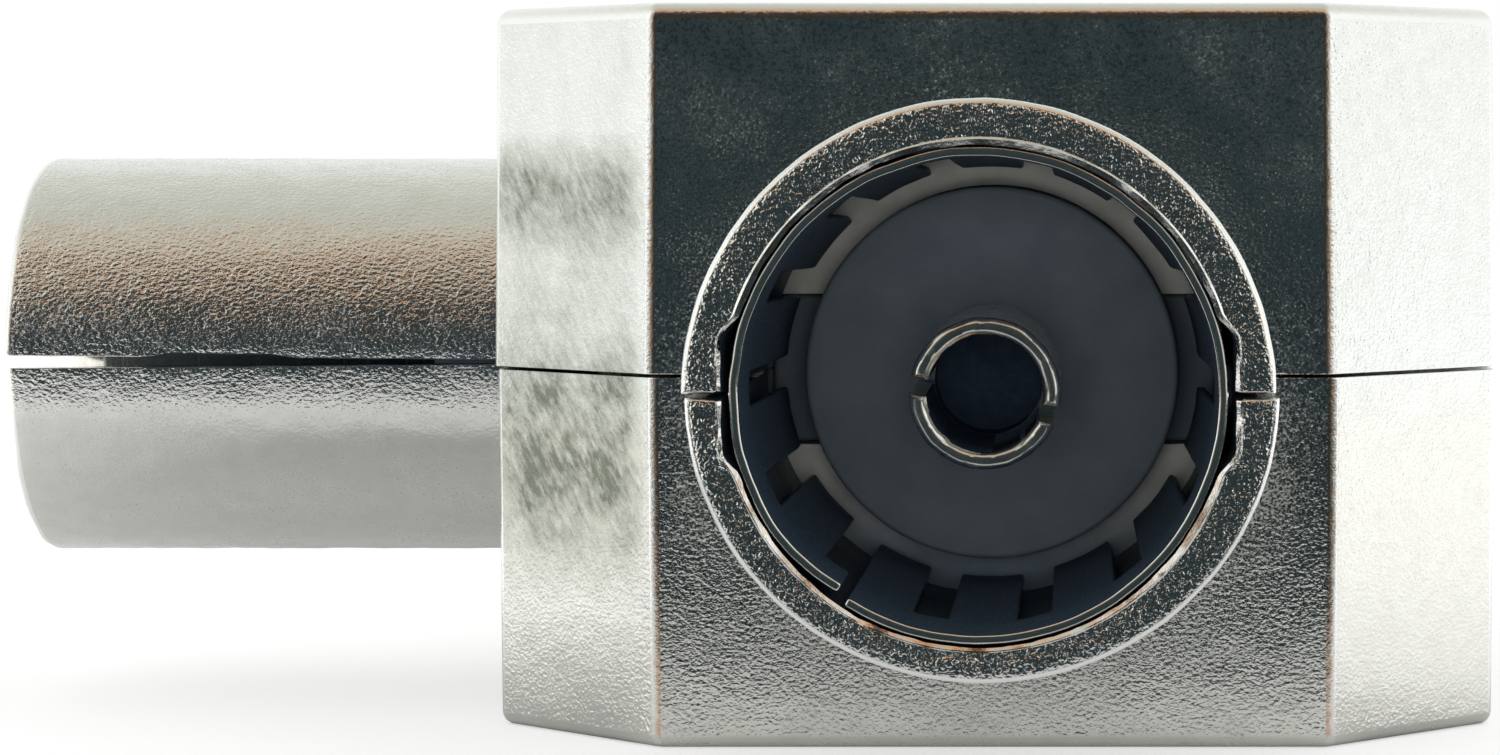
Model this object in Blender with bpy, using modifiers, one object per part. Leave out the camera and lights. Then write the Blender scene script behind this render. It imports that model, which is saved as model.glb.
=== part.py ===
"""Antenna T splitter: a die-cast clamshell with one coaxial plug and two coaxial sockets.

Frame: +Z up, the part stands on its base. The origin is on the base, under the point where the
axes of the three ports cross. The plug points along -X, the sockets along -Y and +Y.
"""

import math

import bmesh
import bpy
from mathutils import Matrix, Vector

MM = 0.001

# The two castings
BODY_SIDE = 22.5 * MM  # square in plan
BODY_HEIGHT = 16.1 * MM
CORNER_CHAMFER = 3.9 * MM
DRAFT = math.radians(0.5)  # each half narrows away from the parting plane
RIM_RADIUS = 0.35 * MM  # around the top and the base
CORNER_RADIUS = 0.12 * MM  # along the eight upright edges
PARTING_GAP = 0.06 * MM
FLOOR_WALL = 1.3 * MM
SIDE_WALL = 1.5 * MM
RIB = 0.9 * MM  # holds an insulator's flange from inside
FIT = 0.03 * MM  # clearance of pieces that seat in each other

# The sockets: a cast barrel, lined with a rolled sleeve of spring fingers
SOCKET_REACH = 8.0 * MM
SOCKET_DEPTH = 11.2 * MM
SOCKET_WALL = 0.9 * MM
SOCKET_SLIT = 0.14 * MM
SLEEVE_BORE = 9.46 * MM
SLEEVE_SHEET = 0.2 * MM
SLEEVE_RECESS = 0.25 * MM
SLEEVE_RING = 2.4 * MM  # whole at the mouth, in front of the slots between the fingers
SLEEVE_FINGERS = 14
SLEEVE_SLOT = 0.75 * MM
SLEEVE_LEAN = 0.17 * MM  # how far the ends of the fingers stand inwards
SLEEVE_END_GAP = 1.0 * MM  # from the fingers to the shoulder
SLEEVE_GAP = math.radians(3.5)
SLEEVE_GAP_PLACE = math.radians(233)  # from three o'clock, anticlockwise as seen from the mouth
SLEEVE_SLOT_PLACE = math.radians(229)
MOUTH_CHAMFER = 0.25 * MM
MOUTH_EDGE = 0.15 * MM
RELIEF_DEPTH = 0.24 * MM  # flats beside the sleeve, at the parting plane
RELIEF_HEIGHT = 2.4 * MM
RELIEF_CORNER = 0.2 * MM

# The wall at the end of each socket, with the insulator that it holds
WEB = 1.2 * MM
KEY_HEIGHT = 3.3 * MM
KEY_SETBACK = 0.6 * MM  # the keys end short of the shoulder
SHOULDER_STEP = 0.65 * MM  # between the sleeve's bore and the insulator's boss
BOSS_RISE = 1.7 * MM
FLANGE = 1.2 * MM
FLANGE_LIP = 0.3 * MM  # how far a flange is wider than the bore in front of it
RIB_HOLE_RADIUS = 3.6 * MM

# The plug
PLUG_REACH = 11.8 * MM
PLUG_DIAMETER = 9.5 * MM
PLUG_WALL = 0.65 * MM
PLUG_SLIT = 0.24 * MM
PLUG_EDGE = 0.2 * MM
NOTCH_PLACE = 3.5 * MM  # from the plug's mouth to a shallow notch in each edge of its upper half
NOTCH_LENGTH = 3.1 * MM
NOTCH_DEPTH = 0.25 * MM
PLUG_FACE_DEPTH = 9.9 * MM  # from the plug's mouth to its insulator
PLUG_NECK = 1.65 * MM  # from the side of the body to the flange

# The contacts
CONTACT_DIAMETER = 3.05 * MM
CONTACT_BORE = 2.3 * MM
CONTACT_RECESS = 1.0 * MM
CONTACT_BASE = 1.5 * MM  # solid, between the bore and the insulator
CONTACT_SLOT = 0.3 * MM
CONTACT_SLOT_DEPTH = 5.5 * MM
CONTACT_SLOT_TURN = math.radians(10)  # clockwise, as seen from the mouth
CONTACT_EDGE = 0.08 * MM
SHANK_DIAMETER = 2.0 * MM
PIN_DIAMETER = 2.4 * MM
PIN_RECESS = 0.5 * MM
PIN_NOSE = 1.5 * MM
TAIL_DIAMETER = 1.0 * MM
TAIL_LENGTH = 1.0 * MM

# The pegs that lock the castings together
PEG_RADIUS = 0.9 * MM
PEG_HEIGHT = 2.2 * MM
PEG_EDGE = 1.9 * MM  # from a corner chamfer to a peg's middle
PEG_END_GAP = 0.3 * MM

# The circuit
BOARD = 0.8 * MM
LEDGE = 0.9 * MM
BOARD_MARGIN = 0.3 * MM
CORE_WIDTH = 3.4 * MM
CORE_HEIGHT = 2.0 * MM
CORE_LENGTH = 2.4 * MM
CORE_HOLE_RADIUS = 0.42 * MM
CORE_HOLE_PITCH = 1.7 * MM
LANE = 2.2 * MM  # kept free for the tails between the two cores
WIRE = 0.14 * MM
WIRE_PITCH = 0.36 * MM
WINDING_TURNS = 1.5
LOOP_REACH = 0.35 * MM  # how far the wire bows out of a core
LOOP_SQUARENESS = 0.35  # 1 would be an ellipse
LOOP_POINTS = 24
LEAD_SPREAD = 0.12  # of a turn, from the middle of a core's end to a lead
LEAD_REACH = 0.25 * MM
CHIP_LENGTH = 2.0 * MM
CHIP_WIDTH = 1.25 * MM
CHIP_HEIGHT = 0.6 * MM
CHIP_GAP = 0.4 * MM

ROUND = 48  # facets around a barrel
SMALL_ROUND = 24
ARC_STEPS = 3
OVERSHOOT = 1.0 * MM  # how far cutters reach past what they cut

# Worked out from the sizes above
AXIS_Z = BODY_HEIGHT / 2
HALF_SIDE = BODY_SIDE / 2
MOUTH = HALF_SIDE + SOCKET_REACH
SLEEVE_RADIUS = SLEEVE_BORE / 2
BORE_RADIUS = SLEEVE_RADIUS + SLEEVE_SHEET + FIT
BOSS_RADIUS = SLEEVE_RADIUS - SHOULDER_STEP
SOCKET_RADIUS = BORE_RADIUS + SOCKET_WALL
RELIEF_HALF = BORE_RADIUS + RELIEF_DEPTH
GROOVE = FLANGE + 2 * FIT
SOCKET_FLANGE_RADIUS = BORE_RADIUS + FLANGE_LIP
CAVITY_HALF_Y = MOUTH - SOCKET_DEPTH - WEB - GROOVE - RIB
PLUG_MOUTH = HALF_SIDE + PLUG_REACH
PLUG_RADIUS = PLUG_DIAMETER / 2
PLUG_BORE = PLUG_RADIUS - PLUG_WALL
PLUG_FLANGE_RADIUS = PLUG_BORE + 3 * FLANGE_LIP
CAVITY_LEFT = HALF_SIDE - PLUG_NECK - GROOVE - RIB
CAVITY_RIGHT = HALF_SIDE - SIDE_WALL
BOARD_TOP = AXIS_Z - TAIL_DIAMETER / 2 - FIT
BOARD_BOTTOM = BOARD_TOP - BOARD
PEG_PLACE = HALF_SIDE - CORNER_CHAMFER / 2 - PEG_EDGE / math.sqrt(2)

PORT_TURNS = {"front": -math.pi / 2, "rear": math.pi / 2, "plug": math.pi}


def material(name, colour, roughness, metallic):
    made = bpy.data.materials.new(name)
    made.use_nodes = True
    shader = made.node_tree.nodes["Principled BSDF"]
    shader.inputs["Base Color"].default_value = (*colour, 1.0)
    shader.inputs["Roughness"].default_value = roughness
    shader.inputs["Metallic"].default_value = metallic
    made.diffuse_color = (*colour, 1.0)
    return made


def start_scene():
    """Empties the scene and returns the collections for the parts and for the cutters."""
    for old in list(bpy.data.objects):
        bpy.data.objects.remove(old, do_unlink=True)
    parts = bpy.data.collections.new("antenna_splitter")
    cutters = bpy.data.collections.new("cutters")
    for made in (parts, cutters):
        bpy.context.scene.collection.children.link(made)
    return parts, cutters


PARTS, CUTTERS = start_scene()
CASTING = material("nickel_plated_casting", (0.62, 0.60, 0.56), 0.32, 1.0)
SPRING_METAL = material("nickel_plated_spring", (0.70, 0.68, 0.62), 0.22, 1.0)
CONTACT_METAL = material("nickel_plated_contact", (0.68, 0.66, 0.60), 0.2, 1.0)
DARK_PLASTIC = material("charcoal_plastic", (0.035, 0.04, 0.045), 0.5, 0.0)
LAMINATE = material("board_laminate", (0.10, 0.26, 0.12), 0.5, 0.0)
FERRITE = material("ferrite", (0.06, 0.06, 0.065), 0.6, 0.0)
ENAMEL = material("enamelled_copper", (0.55, 0.20, 0.06), 0.3, 0.8)
CERAMIC = material("chip_ceramic", (0.45, 0.33, 0.22), 0.5, 0.0)


def add_object(name, data, finish=None):
    """Links data as a part, or as a cutter where no finish is given."""
    made = bpy.data.objects.new(name, data)
    if finish is None:
        CUTTERS.objects.link(made)
        made.hide_render = True
        made.display_type = "WIRE"
    else:
        PARTS.objects.link(made)
        data.materials.append(finish)
    return made


def from_bmesh(name, shape, finish=None):
    mesh = bpy.data.meshes.new(name)
    bmesh.ops.recalc_face_normals(shape, faces=shape.faces)
    shape.to_mesh(mesh)
    shape.free()
    return add_object(name, mesh, finish)


def block(name, low, high, finish=None, corner=0.0, along=None, segments=1):
    """A box between two corners. Its edges along one axis, or all of them, may be cut back."""
    low, high = Vector(low), Vector(high)
    shape = bmesh.new()
    bmesh.ops.create_cube(shape, size=1.0)
    bmesh.ops.scale(shape, vec=high - low, verts=shape.verts)
    bmesh.ops.translate(shape, vec=(low + high) / 2, verts=shape.verts)
    if corner:
        edges = [
            edge for edge in shape.edges
            if along is None or abs((edge.verts[1].co - edge.verts[0].co).normalized()[along]) > 0.9
        ]
        bmesh.ops.bevel(
            shape, geom=edges, offset=corner, segments=segments, profile=0.5, affect="EDGES"
        )
    return from_bmesh(name, shape, finish)


def turned(name, outline, finish=None, turn=None, steps=ROUND, angle=2 * math.pi):
    """A solid or a surface of revolution about the port's axis.

    The outline lists (distance out along the port from the crossing of the axes, radius), and
    closes on itself where its last point is its first. The Screw turns it about the mesh's own Z,
    and the object is laid along its port at the height of the axes.
    """
    mesh = bpy.data.meshes.new(name)
    points = [(radius, 0.0, along) for along, radius in outline]
    edges = [(i, i + 1) for i in range(len(points) - 1)]
    if points[0] == points[-1]:
        points.pop()
        edges[-1] = (len(points) - 1, 0)
    mesh.from_pydata(points, edges, [])
    made = add_object(name, mesh, finish)
    screw = made.modifiers.new("turn", "SCREW")
    screw.steps = steps
    screw.render_steps = steps
    screw.angle = angle
    screw.use_merge_vertices = True
    screw.merge_threshold = 1e-6
    screw.use_smooth_shade = True
    lay_along_x = Matrix.Rotation(math.pi / 2, 4, "Y")
    made.matrix_world = (
        Matrix.Translation((0, 0, AXIS_Z)) @ Matrix.Rotation(turn or 0.0, 4, "Z") @ lay_along_x
    )
    return made


def arc(middle_along, middle_radius, size, start, end, steps=ARC_STEPS):
    """Points of a rounded edge in a turned outline."""
    points = []
    for step in range(steps + 1):
        angle = start + (end - start) * step / steps
        points.append(
            (middle_along + size * math.cos(angle), middle_radius + size * math.sin(angle))
        )
    return points


def boolean(target, tool, operation="DIFFERENCE", solver="EXACT"):
    cut = target.modifiers.new(tool.name, "BOOLEAN")
    cut.operation = operation
    cut.solver = solver
    cut.object = tool
    return target


def cut_casting(casting, tool, operation="DIFFERENCE"):
    """The castings take many close cuts, which the exact solver leaves open."""
    return boolean(casting, tool, operation, "MANIFOLD")


def castings():
    """The two half shells, cut by the same tools so that their halves match."""
    tools = port_bores() + relief_cuts() + slit_cuts()
    upper = half_shell("upper_housing", 1)
    lower = half_shell("lower_housing", -1)
    for tool in tools:
        cut_casting(upper, tool)
        cut_casting(lower, tool)
    cut_casting(upper, cavity_above())
    cut_casting(lower, cavity_below())
    cut_casting(lower, board_seat())
    for x_sign in (-1, 1):
        for y_sign in (-1, 1):
            place = (x_sign * PEG_PLACE, y_sign * PEG_PLACE)
            cut_casting(lower, peg(place), "UNION")
            cut_casting(upper, peg_hole(place))


def half_shell(name, side):
    """One casting before its voids are cut: side is 1 above the parting plane and -1 below."""
    shell = body_block(name, side)
    for port, turn in PORT_TURNS.items():
        cut_casting(shell, barrel(f"{name}_{port}_barrel", port, turn), "UNION")
    near = AXIS_Z + side * PARTING_GAP / 2
    far = AXIS_Z - side * (BODY_HEIGHT / 2 + OVERSHOOT)
    reach = MOUTH + PLUG_MOUTH
    low = (-reach, -reach, min(near, far))
    high = (reach, reach, max(near, far))
    return cut_casting(shell, block(f"{name}_other_half", low, high))


def body_block(name, side):
    """The octagonal block of one half, with its draft and its rounded outer edges."""
    shape = bmesh.new()
    bmesh.ops.create_cube(shape, size=1.0)
    thickness = BODY_HEIGHT / 2 + OVERSHOOT
    bmesh.ops.scale(shape, vec=(BODY_SIDE, BODY_SIDE, thickness), verts=shape.verts)
    middle = AXIS_Z + side * (BODY_HEIGHT / 2 - OVERSHOOT) / 2
    bmesh.ops.translate(shape, vec=(0, 0, middle), verts=shape.verts)
    bmesh.ops.bevel(
        shape,
        geom=[edge for edge in shape.edges if upright(edge)],
        offset=CORNER_CHAMFER,
        segments=1,
        affect="EDGES",
    )
    for vert in shape.verts:
        height = side * (vert.co.z - AXIS_Z)
        taper = 1 - height * math.tan(DRAFT) / HALF_SIDE
        vert.co.x *= taper
        vert.co.y *= taper
    corners = [edge for edge in shape.edges if upright(edge)]
    bmesh.ops.bevel(
        shape, geom=corners, offset=CORNER_RADIUS, segments=2, profile=0.5, affect="EDGES"
    )
    outer = AXIS_Z + side * BODY_HEIGHT / 2
    rim = [edge for edge in shape.edges if all(abs(v.co.z - outer) < FIT for v in edge.verts)]
    bmesh.ops.bevel(
        shape, geom=rim, offset=RIM_RADIUS, segments=ARC_STEPS, profile=0.5, affect="EDGES"
    )
    return from_bmesh(name, shape, CASTING)


def upright(edge):
    return abs((edge.verts[1].co - edge.verts[0].co).normalized().z) > 0.9


def barrel(name, port, turn):
    """The solid cylinder of a port, with a rounded mouth, before it is bored."""
    if port == "plug":
        mouth, radius, edge = PLUG_MOUTH, PLUG_RADIUS, PLUG_EDGE
    else:
        mouth, radius, edge = MOUTH, SOCKET_RADIUS, MOUTH_EDGE
    outline = [(mouth, 0.0)]
    outline += arc(mouth - edge, radius - edge, edge, 0.0, math.pi / 2)
    outline += [(HALF_SIDE - OVERSHOOT, radius), (HALF_SIDE - OVERSHOOT, 0.0)]
    return turned(name, outline, turn=turn)


def port_bores():
    """The stepped bore of each port, out of its mouth and into the cavity."""
    bores = []
    shoulder = MOUTH - SOCKET_DEPTH
    groove = shoulder - WEB
    socket = [
        (MOUTH + OVERSHOOT, 0.0),
        (MOUTH + OVERSHOOT, BORE_RADIUS + MOUTH_CHAMFER),
        (MOUTH, BORE_RADIUS + MOUTH_CHAMFER),
        (MOUTH - MOUTH_CHAMFER, BORE_RADIUS),
        (shoulder, BORE_RADIUS),
        (shoulder, BOSS_RADIUS + FIT),
        (groove, BOSS_RADIUS + FIT),
        (groove, SOCKET_FLANGE_RADIUS + FIT),
        (groove - GROOVE, SOCKET_FLANGE_RADIUS + FIT),
        (groove - GROOVE, RIB_HOLE_RADIUS),
        (CAVITY_HALF_Y - FIT, RIB_HOLE_RADIUS),
        (CAVITY_HALF_Y - FIT, 0.0),
    ]
    for port in ("front", "rear"):
        bores.append(turned(f"{port}_bore", socket, turn=PORT_TURNS[port]))
    groove = HALF_SIDE - PLUG_NECK
    plug = [
        (PLUG_MOUTH + OVERSHOOT, 0.0),
        (PLUG_MOUTH + OVERSHOOT, PLUG_BORE),
        (groove, PLUG_BORE),
        (groove, PLUG_FLANGE_RADIUS + FIT),
        (groove - GROOVE, PLUG_FLANGE_RADIUS + FIT),
        (groove - GROOVE, RIB_HOLE_RADIUS),
        (CAVITY_LEFT - FIT, RIB_HOLE_RADIUS),
        (CAVITY_LEFT - FIT, 0.0),
    ]
    bores.append(turned("plug_bore", plug, turn=PORT_TURNS["plug"]))
    return bores


def relief_cuts():
    """Flats beside each spring sleeve, and the keyways of the insulators in the webs."""
    cuts = []
    shoulder = MOUTH - SOCKET_DEPTH
    for port, sign in (("front", -1), ("rear", 1)):
        relief = sorted((sign * (shoulder + FIT), sign * (MOUTH + OVERSHOOT)))
        cuts.append(
            block(
                f"{port}_relief",
                (-RELIEF_HALF, relief[0], AXIS_Z - RELIEF_HEIGHT / 2),
                (RELIEF_HALF, relief[1], AXIS_Z + RELIEF_HEIGHT / 2),
                corner=RELIEF_CORNER,
                along=1,
            )
        )
        keyway = sorted((sign * (shoulder + 2 * FIT), sign * (shoulder - WEB - FIT)))
        cuts.append(
            block(
                f"{port}_keyway",
                (-BORE_RADIUS - FIT, keyway[0], AXIS_Z - KEY_HEIGHT / 2 - FIT),
                (BORE_RADIUS + FIT, keyway[1], AXIS_Z + KEY_HEIGHT / 2 + FIT),
            )
        )
    return cuts


def slit_cuts():
    """The barrels' edges stand back from the parting plane, so that they can spring."""
    cuts = []
    clear = SOCKET_RADIUS + OVERSHOOT
    for port, sign in (("front", -1), ("rear", 1)):
        along = sorted((sign * (HALF_SIDE + FIT), sign * (MOUTH + OVERSHOOT)))
        cuts.append(
            block(
                f"{port}_slit",
                (-clear, along[0], AXIS_Z - SOCKET_SLIT / 2),
                (clear, along[1], AXIS_Z + SOCKET_SLIT / 2),
            )
        )
    clear = PLUG_RADIUS + OVERSHOOT
    cuts.append(
        block(
            "plug_slit",
            (-PLUG_MOUTH - OVERSHOOT, -clear, AXIS_Z - PLUG_SLIT / 2),
            (-HALF_SIDE - FIT, clear, AXIS_Z + PLUG_SLIT / 2),
        )
    )
    cuts.append(
        block(
            "plug_notch",
            (NOTCH_PLACE - PLUG_MOUTH, -clear, AXIS_Z),
            (NOTCH_PLACE + NOTCH_LENGTH - PLUG_MOUTH, clear, AXIS_Z + PLUG_SLIT / 2 + NOTCH_DEPTH),
        )
    )
    return cuts


def cavity_above():
    """The room for the circuit in the upper casting."""
    return block(
        "cavity_above",
        (-CAVITY_LEFT, -CAVITY_HALF_Y, AXIS_Z - OVERSHOOT),
        (CAVITY_RIGHT, CAVITY_HALF_Y, BODY_HEIGHT - FLOOR_WALL),
        corner=RIM_RADIUS,
        along=2,
    )


def cavity_below():
    """The room under the board in the lower casting, between its ledges."""
    return block(
        "cavity_below",
        (-CAVITY_LEFT, -CAVITY_HALF_Y + LEDGE, FLOOR_WALL),
        (CAVITY_RIGHT, CAVITY_HALF_Y - LEDGE, AXIS_Z + OVERSHOOT),
        corner=RIM_RADIUS,
        along=2,
    )


def board_seat():
    """The board's own recess, down to the two ledges that carry it."""
    return block(
        "board_seat",
        (-CAVITY_LEFT, -CAVITY_HALF_Y, BOARD_BOTTOM - FIT),
        (CAVITY_RIGHT, CAVITY_HALF_Y, AXIS_Z + OVERSHOOT),
    )


def upright_turned(name, outline, place, steps=SMALL_ROUND):
    """A turned tool that stands on the parting plane: the outline lists (height, radius)."""
    made = turned(name, outline, steps=steps)
    made.matrix_world = Matrix.Translation((*place, AXIS_Z))
    return made


def peg(place):
    tip = PEG_RADIUS / 3
    outline = [
        (PEG_HEIGHT, 0.0),
        (PEG_HEIGHT, PEG_RADIUS - tip),
        (PEG_HEIGHT - tip, PEG_RADIUS),
        (-OVERSHOOT, PEG_RADIUS),
        (-OVERSHOOT, 0.0),
    ]
    return upright_turned("peg", outline, place)


def peg_hole(place):
    depth = PEG_HEIGHT + PEG_END_GAP
    outline = [
        (depth, 0.0),
        (depth, PEG_RADIUS + FIT),
        (-OVERSHOOT, PEG_RADIUS + FIT),
        (-OVERSHOOT, 0.0),
    ]
    return upright_turned("peg_hole", outline, place)


def spring_sleeve(port):
    """A strip with slots, rolled into an open ring, whose fingers grip the plug that goes in."""
    middle = SLEEVE_RADIUS + SLEEVE_SHEET / 2
    mouth_end = MOUTH - SLEEVE_RECESS
    rear_end = MOUTH - SOCKET_DEPTH + SLEEVE_END_GAP
    outline = [
        (mouth_end, middle),
        (mouth_end - SLEEVE_RING, middle),
        (rear_end, middle - SLEEVE_LEAN),
    ]
    sleeve = turned(
        f"{port}_spring_sleeve",
        outline,
        SPRING_METAL,
        turn=PORT_TURNS[port],
        angle=2 * math.pi - SLEEVE_GAP,
    )
    sleeve.modifiers["turn"].use_merge_vertices = False
    sheet = sleeve.modifiers.new("sheet", "SOLIDIFY")
    sheet.thickness = SLEEVE_SHEET
    sheet.offset = 0.0
    laid = sleeve.matrix_world.copy()
    # The mesh's X is downwards once the sleeve lies along its port.
    start = SLEEVE_GAP_PLACE + math.pi / 2 + SLEEVE_GAP / 2
    sleeve.matrix_world = laid @ Matrix.Rotation(start, 4, "Z")
    slots = finger_slots(port, rear_end - FIT, mouth_end - SLEEVE_RING)
    slots.matrix_world = laid @ Matrix.Rotation(SLEEVE_SLOT_PLACE + math.pi / 2, 4, "Z")
    return boolean(sleeve, slots)


def finger_slots(port, rear, front):
    """One bar for each slot of a sleeve, set round the mesh's own Z."""
    shape = bmesh.new()
    reach = SLEEVE_RADIUS / 2
    for finger in range(SLEEVE_FINGERS):
        bar = bmesh.ops.create_cube(shape, size=1.0)["verts"]
        bmesh.ops.scale(shape, vec=(reach, SLEEVE_SLOT, front - rear), verts=bar)
        bmesh.ops.translate(shape, vec=(SLEEVE_RADIUS, 0.0, (front + rear) / 2), verts=bar)
        turn = Matrix.Rotation(2 * math.pi * finger / SLEEVE_FINGERS, 3, "Z")
        bmesh.ops.rotate(shape, cent=(0, 0, 0), matrix=turn, verts=bar)
    return from_bmesh(f"{port}_finger_slots", shape)


def socket_insulator(port):
    """A moulded disc with a boss, a flange and two keys that stop it turning."""
    shoulder = MOUTH - SOCKET_DEPTH
    flange = shoulder - WEB - FIT
    hole = SHANK_DIAMETER / 2 + FIT
    boss_edge = 2 * CONTACT_EDGE
    outline = [(shoulder + BOSS_RISE, hole)]
    outline += arc(
        shoulder + BOSS_RISE - boss_edge, BOSS_RADIUS - boss_edge, boss_edge, 0.0, math.pi / 2
    )
    outline += [
        (flange, BOSS_RADIUS),
        (flange, SOCKET_FLANGE_RADIUS),
        (flange - FLANGE, SOCKET_FLANGE_RADIUS),
        (flange - FLANGE, hole),
        (shoulder + BOSS_RISE, hole),
    ]
    insulator = turned(f"{port}_insulator", outline, DARK_PLASTIC, turn=PORT_TURNS[port])
    for side in (-1, 1):
        across = sorted((side * (BOSS_RADIUS - RIB), side * BORE_RADIUS))
        sign = math.copysign(1, PORT_TURNS[port])
        along = sorted((sign * (shoulder - KEY_SETBACK), sign * (flange - FLANGE / 2)))
        key = block(
            f"{port}_key",
            (across[0], along[0], AXIS_Z - KEY_HEIGHT / 2),
            (across[1], along[1], AXIS_Z + KEY_HEIGHT / 2),
        )
        boolean(insulator, key, "UNION")
    return insulator


def plug_insulator():
    """The bush that centres the pin in the plug."""
    face = PLUG_MOUTH - PLUG_FACE_DEPTH
    flange = HALF_SIDE - PLUG_NECK - FIT
    hole = SHANK_DIAMETER / 2 + FIT
    outline = [
        (face, hole),
        (face, PLUG_BORE - FIT),
        (flange, PLUG_BORE - FIT),
        (flange, PLUG_FLANGE_RADIUS),
        (flange - FLANGE, PLUG_FLANGE_RADIUS),
        (flange - FLANGE, hole),
        (face, hole),
    ]
    return turned("plug_insulator", outline, DARK_PLASTIC, turn=PORT_TURNS["plug"])


def socket_contact(port):
    """A slotted tube that grips the mating pin, with a shank through the insulator and a tail."""
    tip = MOUTH - CONTACT_RECESS
    seat = MOUTH - SOCKET_DEPTH + BOSS_RISE + FIT
    outer, bore = CONTACT_DIAMETER / 2, CONTACT_BORE / 2
    tail_end = CAVITY_HALF_Y - TAIL_LENGTH
    outline = [(seat + CONTACT_BASE, 0.0), (seat + CONTACT_BASE, bore)]
    outline += [(tip - 2 * CONTACT_EDGE, bore), (tip, bore + CONTACT_EDGE)]
    outline += arc(tip - CONTACT_EDGE, outer - CONTACT_EDGE, CONTACT_EDGE, 0.0, math.pi / 2)
    outline += [
        (seat, outer),
        (seat, SHANK_DIAMETER / 2),
        (CAVITY_HALF_Y, SHANK_DIAMETER / 2),
        (CAVITY_HALF_Y, TAIL_DIAMETER / 2),
        (tail_end, TAIL_DIAMETER / 2),
        (tail_end, 0.0),
    ]
    contact = turned(
        f"{port}_contact", outline, CONTACT_METAL, turn=PORT_TURNS[port], steps=SMALL_ROUND
    )
    slot = block(
        f"{port}_contact_slot",
        (-outer - FIT, tip - CONTACT_SLOT_DEPTH, -CONTACT_SLOT / 2),
        (outer + FIT, tip + OVERSHOOT, CONTACT_SLOT / 2),
    )
    facing = Matrix.Rotation(PORT_TURNS[port] - math.pi / 2, 4, "Z")
    twist = Matrix.Rotation(-CONTACT_SLOT_TURN, 4, "Y")
    slot.matrix_world = Matrix.Translation((0, 0, AXIS_Z)) @ facing @ twist
    return boolean(contact, slot)


def plug_pin():
    """The solid pin of the plug, with a rounded nose."""
    tip = PLUG_MOUTH - PIN_RECESS
    seat = PLUG_MOUTH - PLUG_FACE_DEPTH + FIT
    tail_end = CAVITY_LEFT - TAIL_LENGTH
    outline = []
    nose_steps = 2 * ARC_STEPS
    for step in range(nose_steps + 1):
        angle = math.pi / 2 * step / nose_steps
        outline.append(
            (tip - PIN_NOSE * (1 - math.cos(angle)), PIN_DIAMETER / 2 * math.sin(angle))
        )
    outline += [
        (seat, PIN_DIAMETER / 2),
        (seat, SHANK_DIAMETER / 2),
        (CAVITY_LEFT, SHANK_DIAMETER / 2),
        (CAVITY_LEFT, TAIL_DIAMETER / 2),
        (tail_end, TAIL_DIAMETER / 2),
        (tail_end, 0.0),
    ]
    return turned("plug_pin", outline, CONTACT_METAL, turn=PORT_TURNS["plug"], steps=SMALL_ROUND)


def circuit_board():
    """The board that carries the two transformers, resting on the lower casting's ledges."""
    return block(
        "circuit_board",
        (-CAVITY_LEFT + BOARD_MARGIN, -CAVITY_HALF_Y + BOARD_MARGIN, BOARD_BOTTOM),
        (CAVITY_RIGHT - BOARD_MARGIN, CAVITY_HALF_Y - BOARD_MARGIN, BOARD_TOP),
        LAMINATE,
    )


def core_middle(side):
    """The middle of a core: side is -1 for the one by the plug and 1 for the other."""
    return Vector((side * (LANE + CORE_WIDTH) / 2, 0.0, BOARD_TOP + FIT + CORE_HEIGHT / 2))


def ferrite_core(name, side):
    """A block with rounded sides and two holes for the windings."""
    middle = core_middle(side)
    half = Vector((CORE_WIDTH, CORE_LENGTH, CORE_HEIGHT)) / 2
    core = block(
        name, middle - half, middle + half, FERRITE, corner=CORE_HEIGHT * 0.45, along=1, segments=4
    )
    for hole_side in (-1, 1):
        place = middle + Vector((hole_side * CORE_HOLE_PITCH / 2, 0.0, 0.0))
        reach = CORE_LENGTH / 2 + OVERSHOOT
        outline = [(reach, 0.0), (reach, CORE_HOLE_RADIUS)]
        outline += [(-reach, CORE_HOLE_RADIUS), (-reach, 0.0)]
        hole = turned(f"{name}_hole", outline, steps=SMALL_ROUND // 2)
        hole.matrix_world = Matrix.Translation(place) @ Matrix.Rotation(math.pi / 2, 4, "X")
        boolean(core, hole)
    return core


def loop_point(turn):
    """A point of one turn about the middle leg of a core: turn 0 is at its -Y end.

    The wire runs straight through the holes and bows around the leg at both ends.
    """
    angle = 2 * math.pi * turn - math.pi / 2
    across, along = math.cos(angle), math.sin(angle)
    x = math.copysign(CORE_HOLE_PITCH / 2 * abs(across) ** LOOP_SQUARENESS, across)
    y = math.copysign(CORE_LENGTH / 2 * abs(along) ** LOOP_SQUARENESS, along)
    return x, y + LOOP_REACH * along


def winding(name, side, first, last, lift):
    """Enamelled wire through both holes of a core, with its two leads down to the board."""
    middle = core_middle(side)
    steps = round((last - first) * LOOP_POINTS)
    points = []
    for step in range(steps + 1):
        turn = first + (last - first) * step / steps
        x, y = loop_point(turn)
        height = (turn - WINDING_TURNS / 2) * WIRE_PITCH + lift
        points.append(middle + Vector((x, y, height)))
    foot = BOARD_TOP + FIT + WIRE / 2
    leads = []
    for end in (points[0], points[-1]):
        knee = end + Vector((0.0, math.copysign(LEAD_REACH, end.y), 0.0))
        leads.append([Vector((knee.x, knee.y, foot)), knee])
    points = leads[0] + points + list(reversed(leads[1]))
    curve = bpy.data.curves.new(name, "CURVE")
    curve.dimensions = "3D"
    curve.bevel_depth = WIRE / 2
    curve.bevel_resolution = 1
    curve.use_fill_caps = True
    spline = curve.splines.new("POLY")
    spline.points.add(len(points) - 1)
    for slot, point in zip(spline.points, points):
        slot.co = (*point, 1.0)
    return add_object(name, curve, ENAMEL)


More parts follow.
